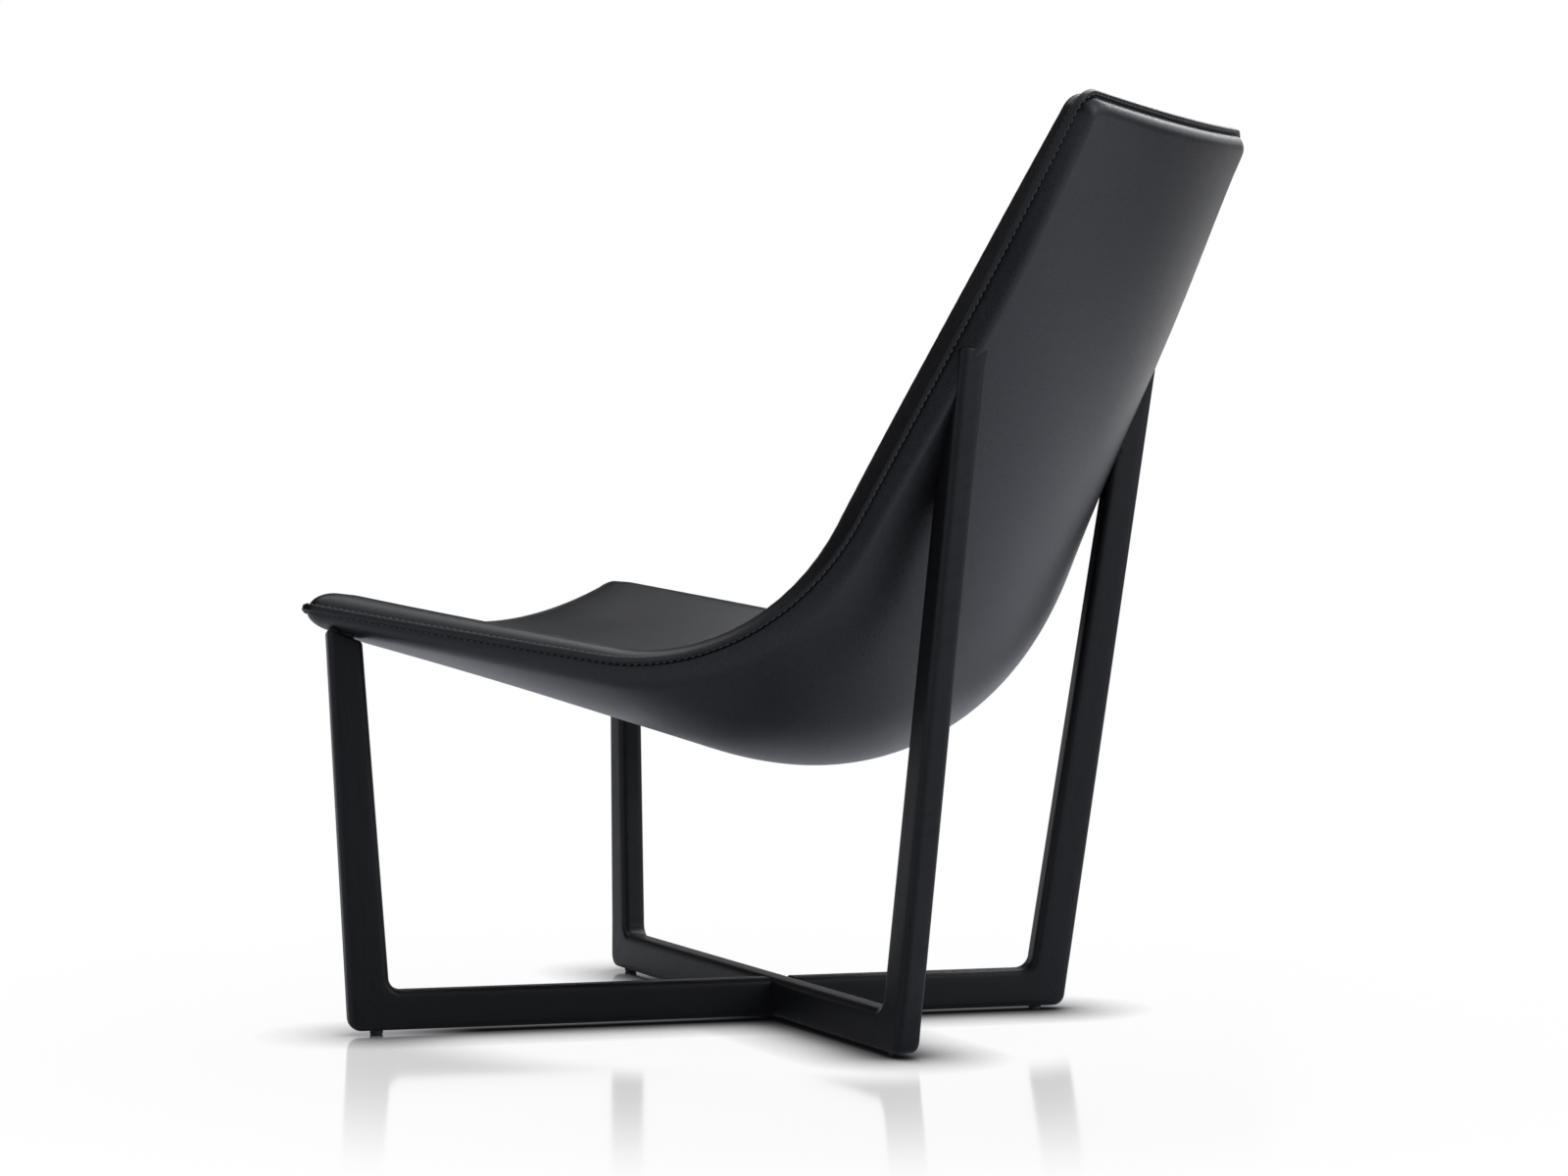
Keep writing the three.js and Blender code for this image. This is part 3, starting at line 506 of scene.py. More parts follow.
# Corner of a frame: the inside runs round a quarter circle, the outside down, round the foot and inwards
def cornerOutline(leg, t):
    sweepTop = timber["railTop"] + timber["innerCorner"]
    turn = t * np.pi / 2
    radius = timber["innerCorner"]
    inner = np.stack([
        innerEdge(leg, sweepTop) - radius * (1 - np.cos(turn)), sweepTop - radius * np.sin(turn),
    ], -1)
    foot = timber["footRound"]
    low = timber["floor"] + foot
    bow = np.linspace(0, np.pi / 2, timber["footSteps"] + 1)
    heel = outerEdge(leg, low) - foot
    path = np.concatenate([
        [[outerEdge(leg, sweepTop), sweepTop]],
        np.stack([heel + foot * np.cos(bow), low - foot * np.sin(bow)], -1),
        [[innerEdge(leg, sweepTop) - radius, timber["floor"]]],
    ])
    steps = np.linalg.norm(np.diff(path, axis=0), axis=1)
    length = np.concatenate([[0], np.cumsum(steps)])
    half = steps[0] + steps[1:-1].sum() / 2  # the mitre ends in the middle of the foot's round
    where = np.interp(t, [0, 0.5, 1], [0, half, length[-1]])
    outer = np.stack([np.interp(where, length, path[:, 0]), np.interp(where, length, path[:, 1])], -1)
    return inner, outer


# Rounded section between an inner and an outer point of the outline: two rounded ends and two flat sides.
# y is the place across the timber, s the depth from the inner point
def sectionRings(inner, outer, innerRound, outerRound, cut=None):
    half = timber["half"]
    bow = np.linspace(0, np.pi / 2, timber["roundSteps"] + 1)
    flat = np.linspace(-1, 1, timber["endSpans"] + 1)[1:-1]

    def end(radius):  # lateral place and depth of a rounded end, from one side to the other
        r = radius[:, None]
        straight = half - r
        y = np.concatenate([-straight - r * np.cos(bow), straight * flat, straight + r * np.sin(bow)], 1)
        s = np.concatenate([r * (1 - np.sin(bow)), r * 0 * flat, r * (1 - np.cos(bow))], 1)
        return y, s

    line = outer - inner
    length = np.linalg.norm(line, axis=1)[:, None]
    innerY, innerS = end(innerRound)
    outerY, outerS = end(outerRound)
    if cut is not None:
        innerS = np.maximum(innerS, cut(innerY))
    outerS = length - outerS
    share = np.linspace(0, 1, timber["sideSpans"] + 1)[1:-1]
    plusSide = innerS[:, -1:] + (outerS[:, -1:] - innerS[:, -1:]) * share
    minusSide = outerS[:, :1] + (innerS[:, :1] - outerS[:, :1]) * share
    s = np.concatenate([innerS, plusSide, outerS[:, ::-1], minusSide], 1)
    y = np.concatenate([innerY, plusSide * 0 + half, outerY[:, ::-1], minusSide * 0 - half], 1)
    flatPoints = inner[:, None] + (line / length)[:, None] * s[..., None]
    return flatPoints, y, s


# Frame plane to the chair: x runs out along the frame, the frame is turned about the crossing.
# Hand 1 is the frame with the front left leg, and -1 the one with the front right leg
def toChair(x, y, z, hand):
    ahead = np.array([hand * math.sin(frameAngle), -math.cos(frameAngle), 0.0])
    aside = np.array([math.cos(frameAngle), hand * math.sin(frameAngle), 0.0])
    return x[..., None] * ahead + y[..., None] * aside + z[..., None] * np.array([0.0, 0.0, 1.0])


# Outer skin under a spot: the inset from the nearest edge, or from a corner's circle, then the pad's rise
def outerSkin(u, side):
    fromEnd = np.minimum(u, 1 - u) * bucketLength
    fromSide = halfWidth(u) * (1 - np.abs(side)) / edgeLean(u)
    radius = np.where(u < 0.5, bucket["frontCorner"], bucket["topCorner"])
    inCorner = np.maximum(fromEnd, fromSide) < radius
    onCircle = radius - np.hypot(radius - fromEnd, radius - fromSide)
    inset = np.where(inCorner, onCircle, np.minimum(fromEnd, fromSide))
    lip = skins["halfSeam"] + skins["leather"]
    face, *edges = outerPad(u)
    rise = padRise(inset + np.inf, inset, bucket["lip"], *edges)  # every edge counts as a side here
    sink = leatherSink(fromEnd, fromSide, u, side, rise, waves["phases"][1])
    return lip + (face - lip) * rise - sink


# Distance of points from the outer skin: steps along both slopes until nothing is left but the normal
def skinDistance(points, step=1e-4, rounds=14):
    u = np.where(points[..., 1] < bucket["rim"][1][0], seatShare / 2, (1 + bendShare) / 2)
    side = np.zeros(u.shape)
    for _ in range(rounds):
        along = (bucketPoint(u + step, side) - bucketPoint(u - step, side)) / (2 * step)
        across = (bucketPoint(u, side + step) - bucketPoint(u, side - step)) / (2 * step)
        away = points - bucketPoint(u, side)
        alongSquare, acrossSquare = (along * along).sum(-1), (across * across).sum(-1)
        shared = (along * across).sum(-1)
        leftAlong, leftAcross = (along * away).sum(-1), (across * away).sum(-1)
        scale = alongSquare * acrossSquare - shared * shared
        u = u + (leftAlong * acrossSquare - leftAcross * shared) / scale
        side = side + (leftAcross * alongSquare - leftAlong * shared) / scale
    offset = ((points - bucketPoint(u, side)) * bucketNormal(u, side)).sum(-1)
    return -offset - outerSkin(u, side)


# Share of the way from one set of points to another at which they come this near the outer skin
def shareToBucket(start, finish, distance, rounds=26):
    low, high = np.zeros(start.shape[:-1]), np.ones(start.shape[:-1])
    for _ in range(rounds):
        mid = (low + high) / 2
        clear = skinDistance(start + (finish - start) * mid[..., None]) > distance
        low, high = np.where(clear, mid, low), np.where(clear, high, mid)
    return low


# Leg: the corner's rings, then rings up to its cut, a quarter round and the end face
def legPiece(name, leg, hand):
    stops = np.linspace(0.5 - timber["mitre"], 0, timber["cornerRings"])
    inner, outer = cornerOutline(leg, stops)
    sweepTop = timber["railTop"] + timber["innerCorner"]
    edge = np.full(len(stops), timber["edge"])
    flat, y, s = sectionRings(inner, outer, edge, edge)
    blend = (1 - stops)[:, None]

    def place(flatPoints, y, blend=1.0):  # the side lean grows with the height
        shift = hand * leg["sideLean"] * flatPoints[..., 1] * blend
        return toChair(leg["sign"] * flatPoints[..., 0], y + shift, flatPoints[..., 1], hand)

    def ringsAt(z, cut=None):  # level sections of the leg at these heights
        inner = np.stack([innerEdge(leg, z), z], -1)
        outer = np.stack([outerEdge(leg, z), z], -1)
        edge = np.full(len(z), timber["edge"])
        return sectionRings(inner, outer, edge, edge, cut)

    base = place(flat, y, blend)
    if leg["sign"] > 0:  # the front legs end under the bucket, a spacer's thickness below it
        high, highY, _ = ringsAt(np.array([leg["top"]]))
        start, finish = base[-1], place(high, highY)[0]
        share = shareToBucket(start, finish, 2 * timber["gap"] + leg["spacer"])
        touching = start + (finish - start) * share[:, None]
        level = np.concatenate([touching[:, :2], touching[:, :1] * 0 + 1], 1)
        plane = level @ np.linalg.lstsq(level, touching[:, 2], rcond=None)[0]
        plane = plane - (plane - touching[:, 2]).max()  # flat cut that clears the skin, half of it taken
        share = share * ((plane + touching[:, 2]) / 2 - start[:, 2]) / (touching[:, 2] - start[:, 2])
        rise = np.linspace(0, 1, leg["rings"])[1:, None, None]
        tall = np.linalg.norm(finish - start, axis=-1) * share
        stop = ((1 - timber["topEdge"] / tall) * share)[None, :, None]
        body = start + (finish - start) * stop * rise
        end = start + (finish - start) * share[:, None]
        s = np.concatenate([s, np.repeat(s[-1:], leg["rings"] - 1, 0)])
    else:  # the rear legs are cut along the back of the bucket, and square at the top
        z = np.linspace(sweepTop, leg["top"], leg["rings"])[1:]
        z[-1] -= timber["topEdge"]

        def cut(y):  # depth at which each line across the leg comes clear of the leather
            near = np.stack([innerEdge(leg, z), z], -1)[:, None] + y[..., None] * 0
            far = np.stack([outerEdge(leg, z), z], -1)[:, None] + y[..., None] * 0
            free = shareToBucket(place(far, y), place(near, y), timber["seat"])
            return (1 - free) * (outerEdge(leg, z) - innerEdge(leg, z))[:, None]

        high, highY, highS = ringsAt(z, cut)
        body = place(high, highY)
        lift = np.array([0, 0, timber["topEdge"]])
        end = body[-1] + lift
        s = np.concatenate([s, highS])
    middle = end.mean(0)
    inward = timber["topEdge"] / np.linalg.norm(end - middle, axis=1, keepdims=True)
    inward = (middle - end) * np.minimum(inward, 0.5)  # never past half way to the middle
    turn = (np.arange(timber["topRings"]) + 1)[:, None, None] * np.pi / 2 / timber["topRings"]
    cap = body[-1] + (end - body[-1]) * np.sin(turn) + inward * (1 - np.cos(turn))
    s = np.concatenate([s, np.repeat(s[-1:], timber["topRings"], 0)])
    rings = np.concatenate([base, body, cap])
    if leg["sign"] * hand < 0:  # mirrored once, so the rings run the other way
        rings, s = rings[:, ::-1], s[:, ::-1]
    step = np.linalg.norm(np.diff(rings.mean(1), axis=0), axis=1)
    along = np.concatenate([[0], np.cumsum(step)])[:, None] + s * 0
    grain = np.stack([s, rings[..., 0] + rings[..., 1], along], -1)
    return tubes(name, rings[None], timber["sharpAngle"], grain=grain.reshape(-1, 3))


rail = {
    "aheadRings": 25,
    "behindRings": 17,
    "lapEdge": 0.25,  # the lap's own edges are almost square
    "shearFrom": 64.0,  # this far from the crossing the rings start to turn to the other rail's direction
    "shearOver": 40.0,  # and this much nearer they have turned
}


# Rail: from mitre to mitre, at the crossing sheared to the other rail's direction and cut to half height
def railPiece(name, hand, notchOnTop):
    stops = np.linspace(0.5 + timber["mitre"], 1, timber["cornerRings"])
    frontInner, frontOuter = cornerOutline(frontLeg, stops)
    rearInner, rearOuter = cornerOutline(rearLeg, stops)
    cross = 2 * frameAngle
    wall = (timber["half"] + timber["gap"]) / math.sin(cross)
    level = (timber["floor"] + timber["railTop"]) / 2 + (-1 if notchOnTop else 1) * timber["gap"] / 4
    ahead = np.linspace(frontInner[-1, 0], wall, rail["aheadRings"] + 1)[1:]
    behind = np.linspace(-wall, -rearInner[-1, 0], rail["behindRings"] + 1)[:-1]
    inLap = np.array([wall, wall / 3, -wall / 3, -wall])
    x = np.concatenate([ahead, inLap, behind])
    notched = np.repeat([False, True, False], [len(ahead), len(inLap), len(behind)])
    fromTop, fromBelow = notched & notchOnTop, notched & (not notchOnTop)
    topZ = np.where(fromTop, level, timber["railTop"])
    lowZ = np.where(fromBelow, level, timber["floor"])
    flipX = np.array([-1.0, 1.0])
    inner = np.concatenate([frontInner, np.stack([x, topZ], -1), rearInner[::-1] * flipX])
    outer = np.concatenate([frontOuter, np.stack([x, lowZ], -1), rearOuter[::-1] * flipX])
    plain = np.full(timber["cornerRings"], timber["edge"])
    innerRound = np.concatenate([plain, np.where(fromTop, rail["lapEdge"], timber["edge"]), plain])
    outerRound = np.concatenate([plain, np.where(fromBelow, rail["lapEdge"], timber["edge"]), plain])
    flat, y, s = sectionRings(inner, outer, innerRound, outerRound)
    toLeg = 1 - stops
    lean = np.concatenate([toLeg * frontLeg["sideLean"], x * 0, toLeg[::-1] * rearLeg["sideLean"]])
    near = np.clip((rail["shearFrom"] - np.abs(flat[..., 0])) / rail["shearOver"], 0, 1)
    shear = -hand * y / math.tan(cross) * near * near * (3 - 2 * near)
    aside = y + hand * lean[:, None] * flat[..., 1]
    points = toChair(flat[..., 0] + shear, aside, flat[..., 1], hand)
    if hand < 0:
        points, s = points[:, ::-1], s[:, ::-1]
    grain = np.stack([s, points[..., 0] - points[..., 1], flat[..., 0]], -1)
    return tubes(name, points[None], timber["sharpAngle"], grain=grain.reshape(-1, 3))


framePieces = {
    "front_left_leg": legPiece("frontLeftLeg", frontLeg, 1),
    "rear_right_leg": legPiece("rearRightLeg", rearLeg, 1),
    "front_right_leg": legPiece("frontRightLeg", frontLeg, -1),
    "rear_left_leg": legPiece("rearLeftLeg", rearLeg, -1),
    "lower_rail": railPiece("lowerRail", 1, True),
    "upper_rail": railPiece("upperRail", -1, False),
}
print("frames:", sum(len(piece.data.polygons) for piece in framePieces.values()), "faces")


# sRGB hex to linear colour
def colour(hexText):
    part = np.array([int(hexText[i:i + 2], 16) / 255 for i in (1, 3, 5)])
    linear = np.where(part <= 0.04045, part / 12.92, ((part + 0.055) / 1.055) ** 2.4)
    return (*linear.tolist(), 1.0)


# One node: settings are its own properties, feeds are socket values or links.
# The sockets 0, 6 and 7 of a colour mix are its share and its two colours
def addNode(tree, kind, feeds, **settings):
    made = tree.nodes.new(kind)
    for key, value in settings.items():
        setattr(made, key, value)
    for key, value in feeds.items():
        if isinstance(value, bpy.types.NodeSocket):
            tree.links.new(value, made.inputs[key])
        else:
            made.inputs[key].default_value = value
    return made


eased = {"interpolation_type": "SMOOTHSTEP"}  # a map range with soft ends


def newMaterial(name):  # an empty material and its tree of nodes
    material = bpy.data.materials.new(name)
    material.use_nodes = True
    material.node_tree.nodes.clear()
    return material, material.node_tree


def perMillimetre(size):  # texture scale for a pattern of this size in millimetres, on metres
    return 1000.0 / size


# Pigmented cowhide, plated smooth: fine closed grain, a soft sheen, slow changes of shade, painted shade
# darkening the lip in the seam's groove
def pigmentedCowhide():
    material, tree = newMaterial("pigmented cowhide")
    place = addNode(tree, "ShaderNodeTexCoord", {}).outputs["Object"]
    cells = addNode(tree, "ShaderNodeTexVoronoi", {  # the real grain is about 1 mm, too fine to show
        "Vector": place, "Scale": perMillimetre(2.4), "Randomness": 0.9,
    }, feature="DISTANCE_TO_EDGE")
    creases = addNode(tree, "ShaderNodeMapRange", {"Value": cells.outputs["Distance"], "From Max": 0.22})
    pores = addNode(tree, "ShaderNodeTexNoise", {
        "Vector": place, "Scale": perMillimetre(0.9), "Detail": 3.0,
    })
    shade = addNode(tree, "ShaderNodeTexNoise", {
        "Vector": place, "Scale": perMillimetre(90.0), "Detail": 4.0,
    })
    tone = addNode(tree, "ShaderNodeMix", {
        0: shade.outputs["Fac"], 6: colour("#191a1c"), 7: colour("#212225"),
    }, data_type="RGBA")
    grained = addNode(tree, "ShaderNodeMix", {
        0: creases.outputs["Result"], 6: colour("#0e0f10"), 7: tone.outputs[2],
    }, data_type="RGBA")
    inset = addNode(tree, "ShaderNodeAttribute", {}, attribute_name="hide").outputs["Vector"]
    inset = addNode(tree, "ShaderNodeSeparateXYZ", {"Vector": inset}).outputs["X"]
    # painted shade: within a few millimetres of the rim the leather darkens to almost black, standing in for
    # the shade in the seam's groove
    awayFromSeamShade = addNode(tree, "ShaderNodeMapRange", {
        "Value": inset, "From Min": 0.004, "From Max": 0.009, "To Min": 0.25,
    }, **eased)
    seamShaded = addNode(tree, "ShaderNodeMix", {
        0: awayFromSeamShade.outputs["Result"], 6: colour("#050506"), 7: grained.outputs[2],
    }, data_type="RGBA")
    sheen = addNode(tree, "ShaderNodeMapRange", {
        "Value": shade.outputs["Fac"], "To Min": 0.34, "To Max": 0.42,
    })
    grain = addNode(tree, "ShaderNodeBump", {
        "Height": creases.outputs["Result"], "Strength": 0.22, "Distance": 0.0003,
    })
    relief = addNode(tree, "ShaderNodeBump", {
        "Height": pores.outputs["Fac"], "Strength": 0.06, "Distance": 0.0002,
        "Normal": grain.outputs["Normal"],
    })
    surface = addNode(tree, "ShaderNodeBsdfPrincipled", {
        "Base Color": seamShaded.outputs[2], "Roughness": sheen.outputs["Result"], "Specular IOR Level": 0.38,
        "Specular Tint": colour("#eceffc"), "IOR": 1.5, "Normal": relief.outputs["Normal"],
    })
    addNode(tree, "ShaderNodeOutputMaterial", {"Surface": surface.outputs["BSDF"]})
    return material


# Bonded polyester thread: a slight change of tone and a rough twist, with a dull lustre
def polyesterThread():
    material, tree = newMaterial("bonded polyester thread")
    place = addNode(tree, "ShaderNodeTexCoord", {}).outputs["Object"]
    plies = addNode(tree, "ShaderNodeTexNoise", {
        "Vector": place, "Scale": perMillimetre(0.6), "Detail": 2.0,
    })
    tone = addNode(tree, "ShaderNodeMix", {
        0: plies.outputs["Fac"], 6: colour("#1c1d1f"), 7: colour("#303135"),
    }, data_type="RGBA")
    twist = addNode(tree, "ShaderNodeBump", {
        "Height": plies.outputs["Fac"], "Strength": 0.3, "Distance": 0.0002,
    })
    surface = addNode(tree, "ShaderNodeBsdfPrincipled", {
        "Base Color": tone.outputs[2], "Roughness": 0.62, "IOR": 1.55, "Normal": twist.outputs["Normal"],
    })
    addNode(tree, "ShaderNodeOutputMaterial", {"Surface": surface.outputs["BSDF"]})
    return material


# Timber sprayed with black satin lacquer: even black, the pores just showing along the length
def satinLacquer():
    material, tree = newMaterial("satin lacquered timber")
    place = addNode(tree, "ShaderNodeAttribute", {}, attribute_name="grain").outputs["Vector"]
    drawn = addNode(tree, "ShaderNodeMapping", {"Vector": place, "Scale": (1.0, 1.0, 0.045)})
    pores = addNode(tree, "ShaderNodeTexNoise", {
        "Vector": drawn.outputs["Vector"], "Scale": perMillimetre(1.6), "Detail": 3.0,
    })
    spray = addNode(tree, "ShaderNodeTexNoise", {
        "Vector": place, "Scale": perMillimetre(45.0), "Detail": 2.0,
    })
    openPores = addNode(tree, "ShaderNodeMapRange", {
        "Value": pores.outputs["Fac"], "From Min": 0.34, "From Max": 0.5,
    })
    tone = addNode(tree, "ShaderNodeMix", {
        0: openPores.outputs["Result"], 6: colour("#0a0b0c"), 7: colour("#111215"),
    }, data_type="RGBA")
    gloss = addNode(tree, "ShaderNodeMapRange", {
        "Value": spray.outputs["Fac"], "To Min": 0.42, "To Max": 0.5,
    })
    relief = addNode(tree, "ShaderNodeBump", {
        "Height": openPores.outputs["Result"], "Strength": 0.12, "Distance": 0.0002,
    })
    surface = addNode(tree, "ShaderNodeBsdfPrincipled", {
        "Base Color": tone.outputs[2], "Roughness": gloss.outputs["Result"], "Specular IOR Level": 0.26,
        "Specular Tint": colour("#f2f4fc"), "IOR": 1.5, "Normal": relief.outputs["Normal"],
    })
    addNode(tree, "ShaderNodeOutputMaterial", {"Surface": surface.outputs["BSDF"]})
    return material


# A hidden piece's finish: two tones mixed by a noise of a real size, with a relief of some depth in metres
def plainFinish(name, dark, light, size, roughness, depth, stretch=(1, 1, 1), metallic=0.0):
    material, tree = newMaterial(name)
    place = addNode(tree, "ShaderNodeTexCoord", {}).outputs["Object"]
    drawn = addNode(tree, "ShaderNodeMapping", {"Vector": place, "Scale": stretch})
    grain = addNode(tree, "ShaderNodeTexNoise", {
        "Vector": drawn.outputs["Vector"], "Scale": perMillimetre(size), "Detail": 4.0,
    })
    tone = addNode(tree, "ShaderNodeMix", {
        0: grain.outputs["Fac"], 6: colour(dark), 7: colour(light),
    }, data_type="RGBA")
    relief = addNode(tree, "ShaderNodeBump", {
        "Height": grain.outputs["Fac"], "Strength": 0.3, "Distance": depth,
    })
    surface = addNode(tree, "ShaderNodeBsdfPrincipled", {
        "Base Color": tone.outputs[2], "Roughness": roughness, "Metallic": metallic,
        "Normal": relief.outputs["Normal"],
    })
    addNode(tree, "ShaderNodeOutputMaterial", {"Surface": surface.outputs["BSDF"]})
    return material


leather = pigmentedCowhide()
thread = polyesterThread()
lacquer = satinLacquer()
foam = plainFinish(  # open cells, matt and pale
    "cut polyurethane foam", "#b5ad97", "#d8d1bd", size=1.2, roughness=0.95, depth=0.0006,
)
plywood = plainFinish(  # veneer with long grain
    "moulded beech plywood", "#9c774b", "#c09a69", size=4.0, roughness=0.65, depth=0.0002,
    stretch=(1, 0.06, 0.06),
)
beech = plainFinish(  # short flecks along the dowel
    "turned beech", "#b8926a", "#d3b183", size=2.0, roughness=0.6, depth=0.0001, stretch=(1, 1, 0.1),
)
nylon = plainFinish(  # the fine skin of a spark-eroded mould
    "moulded nylon", "#101011", "#1b1b1c", size=0.8, roughness=0.55, depth=0.0001,
)
fibre = plainFinish(  # pressed paper, dull
    "vulcanised fibre", "#131314", "#1d1d1e", size=0.7, roughness=0.7, depth=0.0001,
)
steel = plainFinish(  # a soft grey shine
    "zinc plated steel", "#8f9296", "#b4b7bb", size=1.5, roughness=0.35, depth=0.00005, metallic=1.0,
)

# What each new piece stands for
dress = [
    (innerLeather, leather, "leather", "inner_leather"),
    (outerLeather, leather, "leather", "outer_leather"),
    (seamStitches, thread, "thread", "seam_thread"),
    (seatFoam, foam, "foam", "seat_foam"),
    (backFoam, foam, "foam", "back_foam"),
]
dress += [(piece, lacquer, "lacquered_wood", node) for node, piece in framePieces.items()]
for piece, material, slot, node in dress:
    piece.data.materials.append(material)
    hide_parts(node)

finishes = {  # the first part of a name that fits counts
    "_dowel": beech,
    "_glide_pin": steel,
    "_glide": nylon,
    "_spacer": fibre,
    "_screw": steel,
    "shell_core": plywood,
}
for name, node in nodes.items():
    found = next((material for part, material in finishes.items() if part in name), None)
    if found is not None:
        node.data.materials.clear()
        node.data.materials.append(found)

print("materials and pieces set")

# Studio: white floor that keeps the shadow, partly as a painted contact shadow, white backdrop, soft boxes,
# dark flags for the reflections
studio = {
    "floorSize": 60.0,
    "floorTone": "#dfe1ea",
    "whiteNear": 0.94,  # share of glowing white in the floor near the chair, dimmed there by the painted contact shadow
    "whiteFrom": 0.4,  # it grows from here, in metres from the floor's middle
    "whiteTo": 1.1,  # and is full from here on
    "mirroredFrom": 2.2,  # from here to there that white comes to show in the leather and lacquer
    "mirroredTo": 5.0,
    "contactReach": 0.09,  # how far from the rails the painted contact shadow is counted, and how steeply it fades
    "contactPower": 4.5,
    "contactSamples": 24,
    "floorMirror": 0.34,  # polish in a ring round the feet, in which the legs show
    "polishRing": (0.3, 0.42, 0.9),  # where it starts, is full and ends
    "mirrorRoughness": 0.1,
    "ambient": 0.55,
    "backdrop": 1.0,
    "boxes": [  # place, aim, size across and up, power
        ((-1.2, 0.2, 2.6), (0.0, 0.0, 0.4), 1.6, 1.6, 34.0),
        ((0.4, 3.4, 1.7), (0.0, 0.1, 0.5), 1.4, 1.8, 29.0),
        ((-0.7, -1.35, 2.86), (0.2, -0.1, 0.4), 2.4, 0.4, 10.0),
        ((-3.0, 0.1, 2.2), (0.0, 0.3, 0.8), 1.6, 0.5, 14.0),
    ],
    "flags": [  # place, aim, size across and up, tone
        ((4.1, 1.95, 1.5), (0.0, 0.0, 0.6), 6.0, 4.4, "#0c0c0d"),
        ((0.5, -4.3, 2.0), (0.0, 0.0, 0.6), 6.0, 4.6, "#101011"),
        ((-3.4, -2.8, 2.8), (0.0, 0.0, 0.6), 5.0, 3.6, "#161617"),
        ((-2.9, 1.75, 0.5), (0.0, 0.2, 0.5), 2.4, 1.6, "#58585a"),
    ],
}


# Turn and place for a lamp or a flag: its -Z axis points at the aim
def facing(place, aim):
    away = np.array(place) - np.array(aim)
    zAxis = away / np.linalg.norm(away)
    level = np.cross([0, 0, 1], zAxis)
    xAxis = level / np.linalg.norm(level)
    turn = np.stack([xAxis, np.cross(zAxis, xAxis), zAxis], 1)
    return Matrix.Translation(place) @ Matrix(turn.tolist()).to_4x4()


# Flat stage piece: a rectangle of this width and height
def stagePlane(name, wide, high, material):
    x, y = wide / 2, high / 2
    mesh = bpy.data.meshes.new(name)
    mesh.from_pydata([(-x, -y, 0), (x, -y, 0), (x, y, 0), (-x, y, 0)], [], [(0, 1, 2, 3)])
    mesh.materials.append(material)
    plane = bpy.data.objects.new(name, mesh)
    scene.collection.objects.link(plane)
    return plane


# Share of rays that look at the backdrop: straight from the camera, by reflection or through something
def lookingRays(tree, reflected):
    light = addNode(tree, "ShaderNodeLightPath", {})
    glossy = addNode(tree, "ShaderNodeMath", {
        0: light.outputs["Is Glossy Ray"], 1: reflected,
    }, operation="MULTIPLY")
    seen = addNode(tree, "ShaderNodeMath", {
        0: light.outputs["Is Camera Ray"], 1: glossy.outputs[0],
    }, operation="MAXIMUM")
    return addNode(tree, "ShaderNodeMath", {
        0: seen.outputs[0], 1: light.outputs["Is Transmission Ray"],
    }, operation="MAXIMUM").outputs[0]


# Sprayed floor: matt white with the shadow, glowing white laid over most of it and dimmed near the rails as a
# painted contact shadow, a ring of polish round the feet
floorMaterial, tree = newMaterial("white studio floor")
place = addNode(tree, "ShaderNodeTexCoord", {}).outputs["Object"]
away = addNode(tree, "ShaderNodeVectorMath", {0: place}, operation="LENGTH").outputs["Value"]
whiter = addNode(tree, "ShaderNodeMapRange", {
    "Value": away, "From Min": studio["whiteFrom"], "From Max": studio["whiteTo"],
    "To Min": studio["whiteNear"], "To Max": 1.0,
}, **eased)
mirrored = addNode(tree, "ShaderNodeMapRange", {
    "Value": away, "From Min": studio["mirroredFrom"], "From Max": studio["mirroredTo"],
}, **eased)
seen = lookingRays(tree, mirrored.outputs["Result"])
share = addNode(tree, "ShaderNodeMath", {0: seen, 1: whiter.outputs["Result"]}, operation="MULTIPLY")
matt = addNode(tree, "ShaderNodeBsdfDiffuse", {"Color": colour(studio["floorTone"])})
mirror = addNode(tree, "ShaderNodeBsdfAnisotropic", {
    "Color": colour("#ffffff"), "Roughness": studio["mirrorRoughness"],
})
# painted contact shadow: the glowing white is dimmed by how closed in the floor is near the rails
openness = addNode(tree, "ShaderNodeAmbientOcclusion", {
    "Distance": studio["contactReach"],
}, samples=studio["contactSamples"])
paintedContactShadow = addNode(tree, "ShaderNodeMath", {
    0: openness.outputs["AO"], 1: studio["contactPower"],
}, operation="POWER")
white = addNode(tree, "ShaderNodeEmission", {"Color": colour("#ffffff"), "Strength": paintedContactShadow.outputs[0]})
pale = addNode(tree, "ShaderNodeMixShader", {0: share.outputs[0], 1: matt.outputs[0], 2: white.outputs[0]})
start, full, end = studio["polishRing"]
rise = addNode(tree, "ShaderNodeMapRange", {"Value": away, "From Min": start, "From Max": full}, **eased)
fade = addNode(tree, "ShaderNodeMapRange", {
    "Value": away, "From Min": full, "From Max": end, "To Min": studio["floorMirror"], "To Max": 0.0,
}, **eased)
shine = addNode(tree, "ShaderNodeMath", {
    0: rise.outputs["Result"], 1: fade.outputs["Result"],
}, operation="MULTIPLY")
polished = addNode(tree, "ShaderNodeMixShader", {
    0: shine.outputs[0], 1: pale.outputs[0], 2: mirror.outputs[0],
})
addNode(tree, "ShaderNodeOutputMaterial", {"Surface": polished.outputs[0]})
stagePlane("floor", studio["floorSize"], studio["floorSize"], floorMaterial)

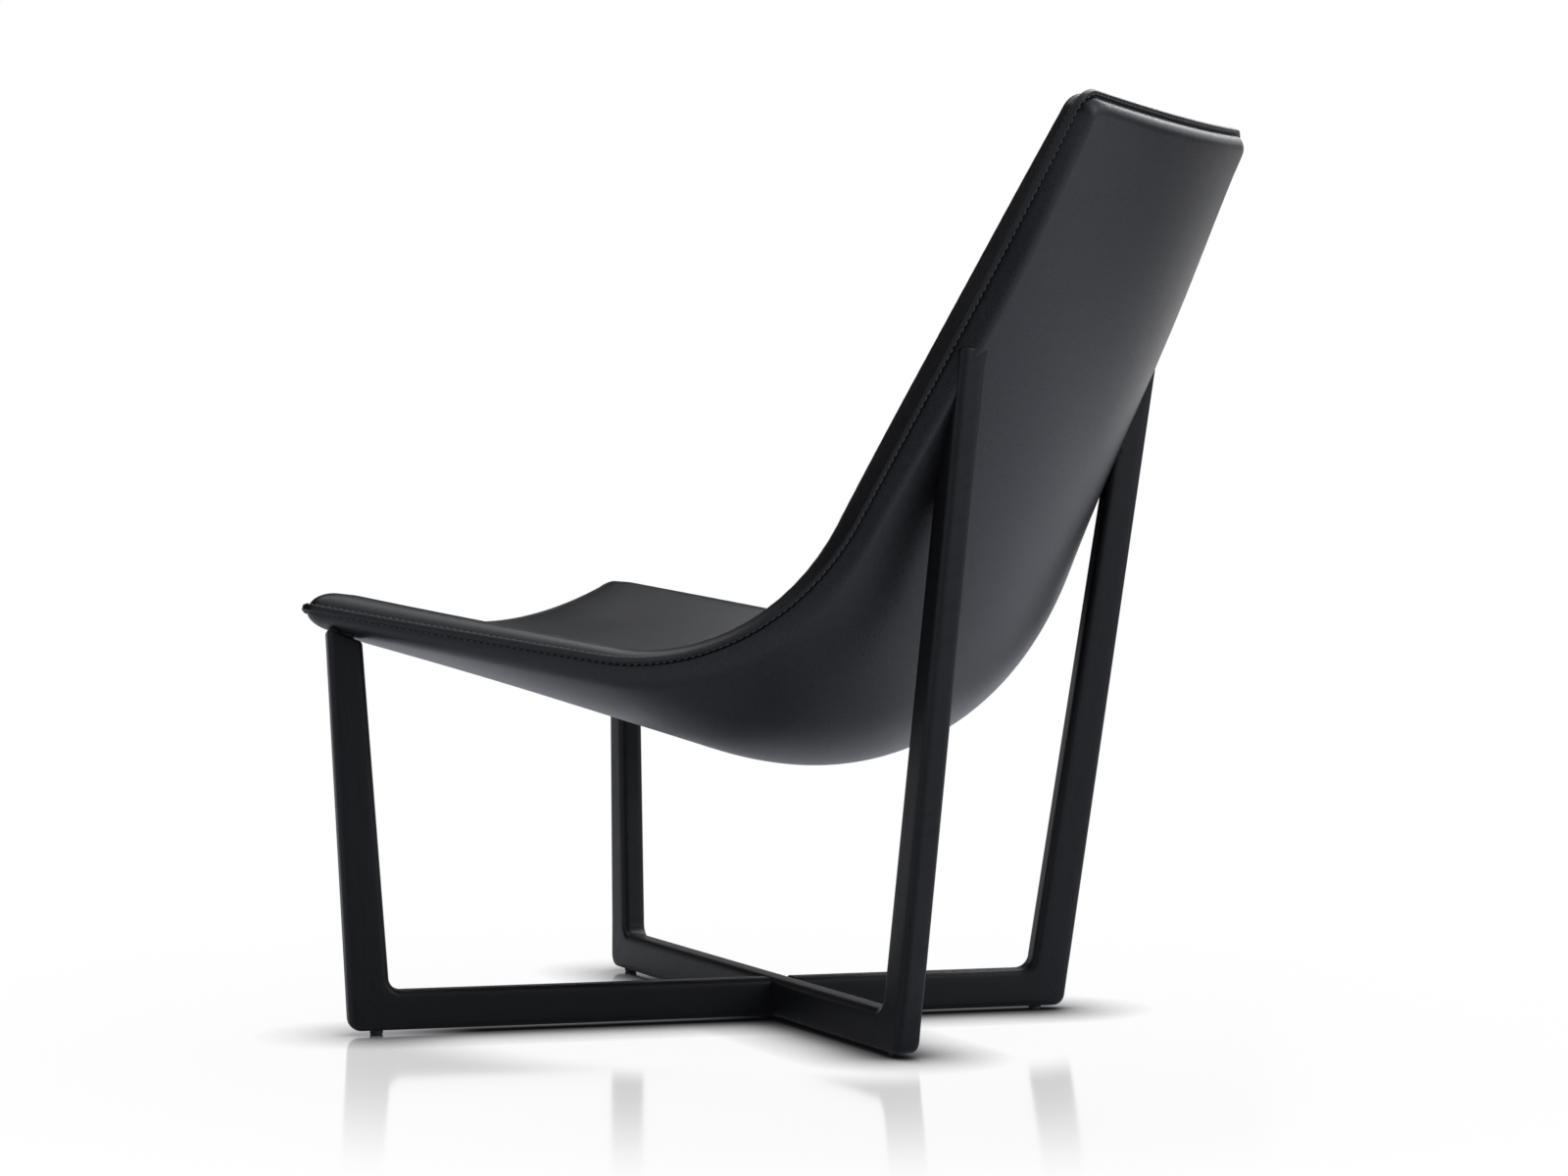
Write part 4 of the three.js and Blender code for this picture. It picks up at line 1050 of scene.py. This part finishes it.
# Flags of felt: dull and dark, so that parts of the chair reflect no white
for number, (place, aim, wide, high, tone) in enumerate(studio["flags"]):
    felt, tree = newMaterial(f"studio felt {number}")
    cloth = addNode(tree, "ShaderNodeBsdfDiffuse", {"Color": colour(tone)})
    addNode(tree, "ShaderNodeOutputMaterial", {"Surface": cloth.outputs["BSDF"]})
    flag = stagePlane(f"flag{number}", wide, high, felt)
    flag.matrix_world = facing(place, aim)
    flag.visible_camera = flag.visible_diffuse = flag.visible_shadow = False  # it only shows in reflections

world = bpy.data.worlds.new("studio")
scene.world = world
world.use_nodes = True
tree = world.node_tree
tree.nodes.clear()
ambient = addNode(tree, "ShaderNodeBackground", {"Color": colour("#ffffff"), "Strength": studio["ambient"]})
backdrop = addNode(tree, "ShaderNodeBackground", {
    "Color": colour("#ffffff"), "Strength": studio["backdrop"],
})
worldMix = addNode(tree, "ShaderNodeMixShader", {
    0: lookingRays(tree, 1.0), 1: ambient.outputs[0], 2: backdrop.outputs[0],
})
addNode(tree, "ShaderNodeOutputWorld", {"Surface": worldMix.outputs[0]})

for number, (place, aim, across, up, power) in enumerate(studio["boxes"]):
    lamp = bpy.data.lights.new(f"softBox{number}", "AREA")
    lamp.shape = "RECTANGLE"
    lamp.size, lamp.size_y, lamp.energy = across, up, power
    holder = bpy.data.objects.new(f"softBox{number}", lamp)
    holder.matrix_world = facing(place, aim)
    scene.collection.objects.link(holder)

# Camera, solved from the picture's straight timbers
view = {
    "place": (3149.3, 1506.1, 490.0),
    "azimuth": 115.4795,
    "elevation": 1.40,
    "sensor": 36.0,
    "lens": 85.596,
}
azimuth, elevation = math.radians(view["azimuth"]), math.radians(view["elevation"])
level = np.array([math.sin(azimuth), -math.cos(azimuth), 0.0])
back = level * math.cos(elevation) + np.array([0.0, 0.0, math.sin(elevation)])
right = np.array([math.cos(azimuth), math.sin(azimuth), 0.0])
turn = np.stack([right, np.cross(back, right), back], 1)
stand = Matrix.Translation(np.array(view["place"]) / 1000 + crossing)
cameraData = bpy.data.cameras.new("camera")
cameraData.sensor_width, cameraData.lens = view["sensor"], view["lens"]
camera = bpy.data.objects.new("camera", cameraData)
camera.matrix_world = stand @ Matrix(turn.tolist()).to_4x4()
scene.collection.objects.link(camera)
scene.camera = camera
scene.view_settings.view_transform = "Standard"
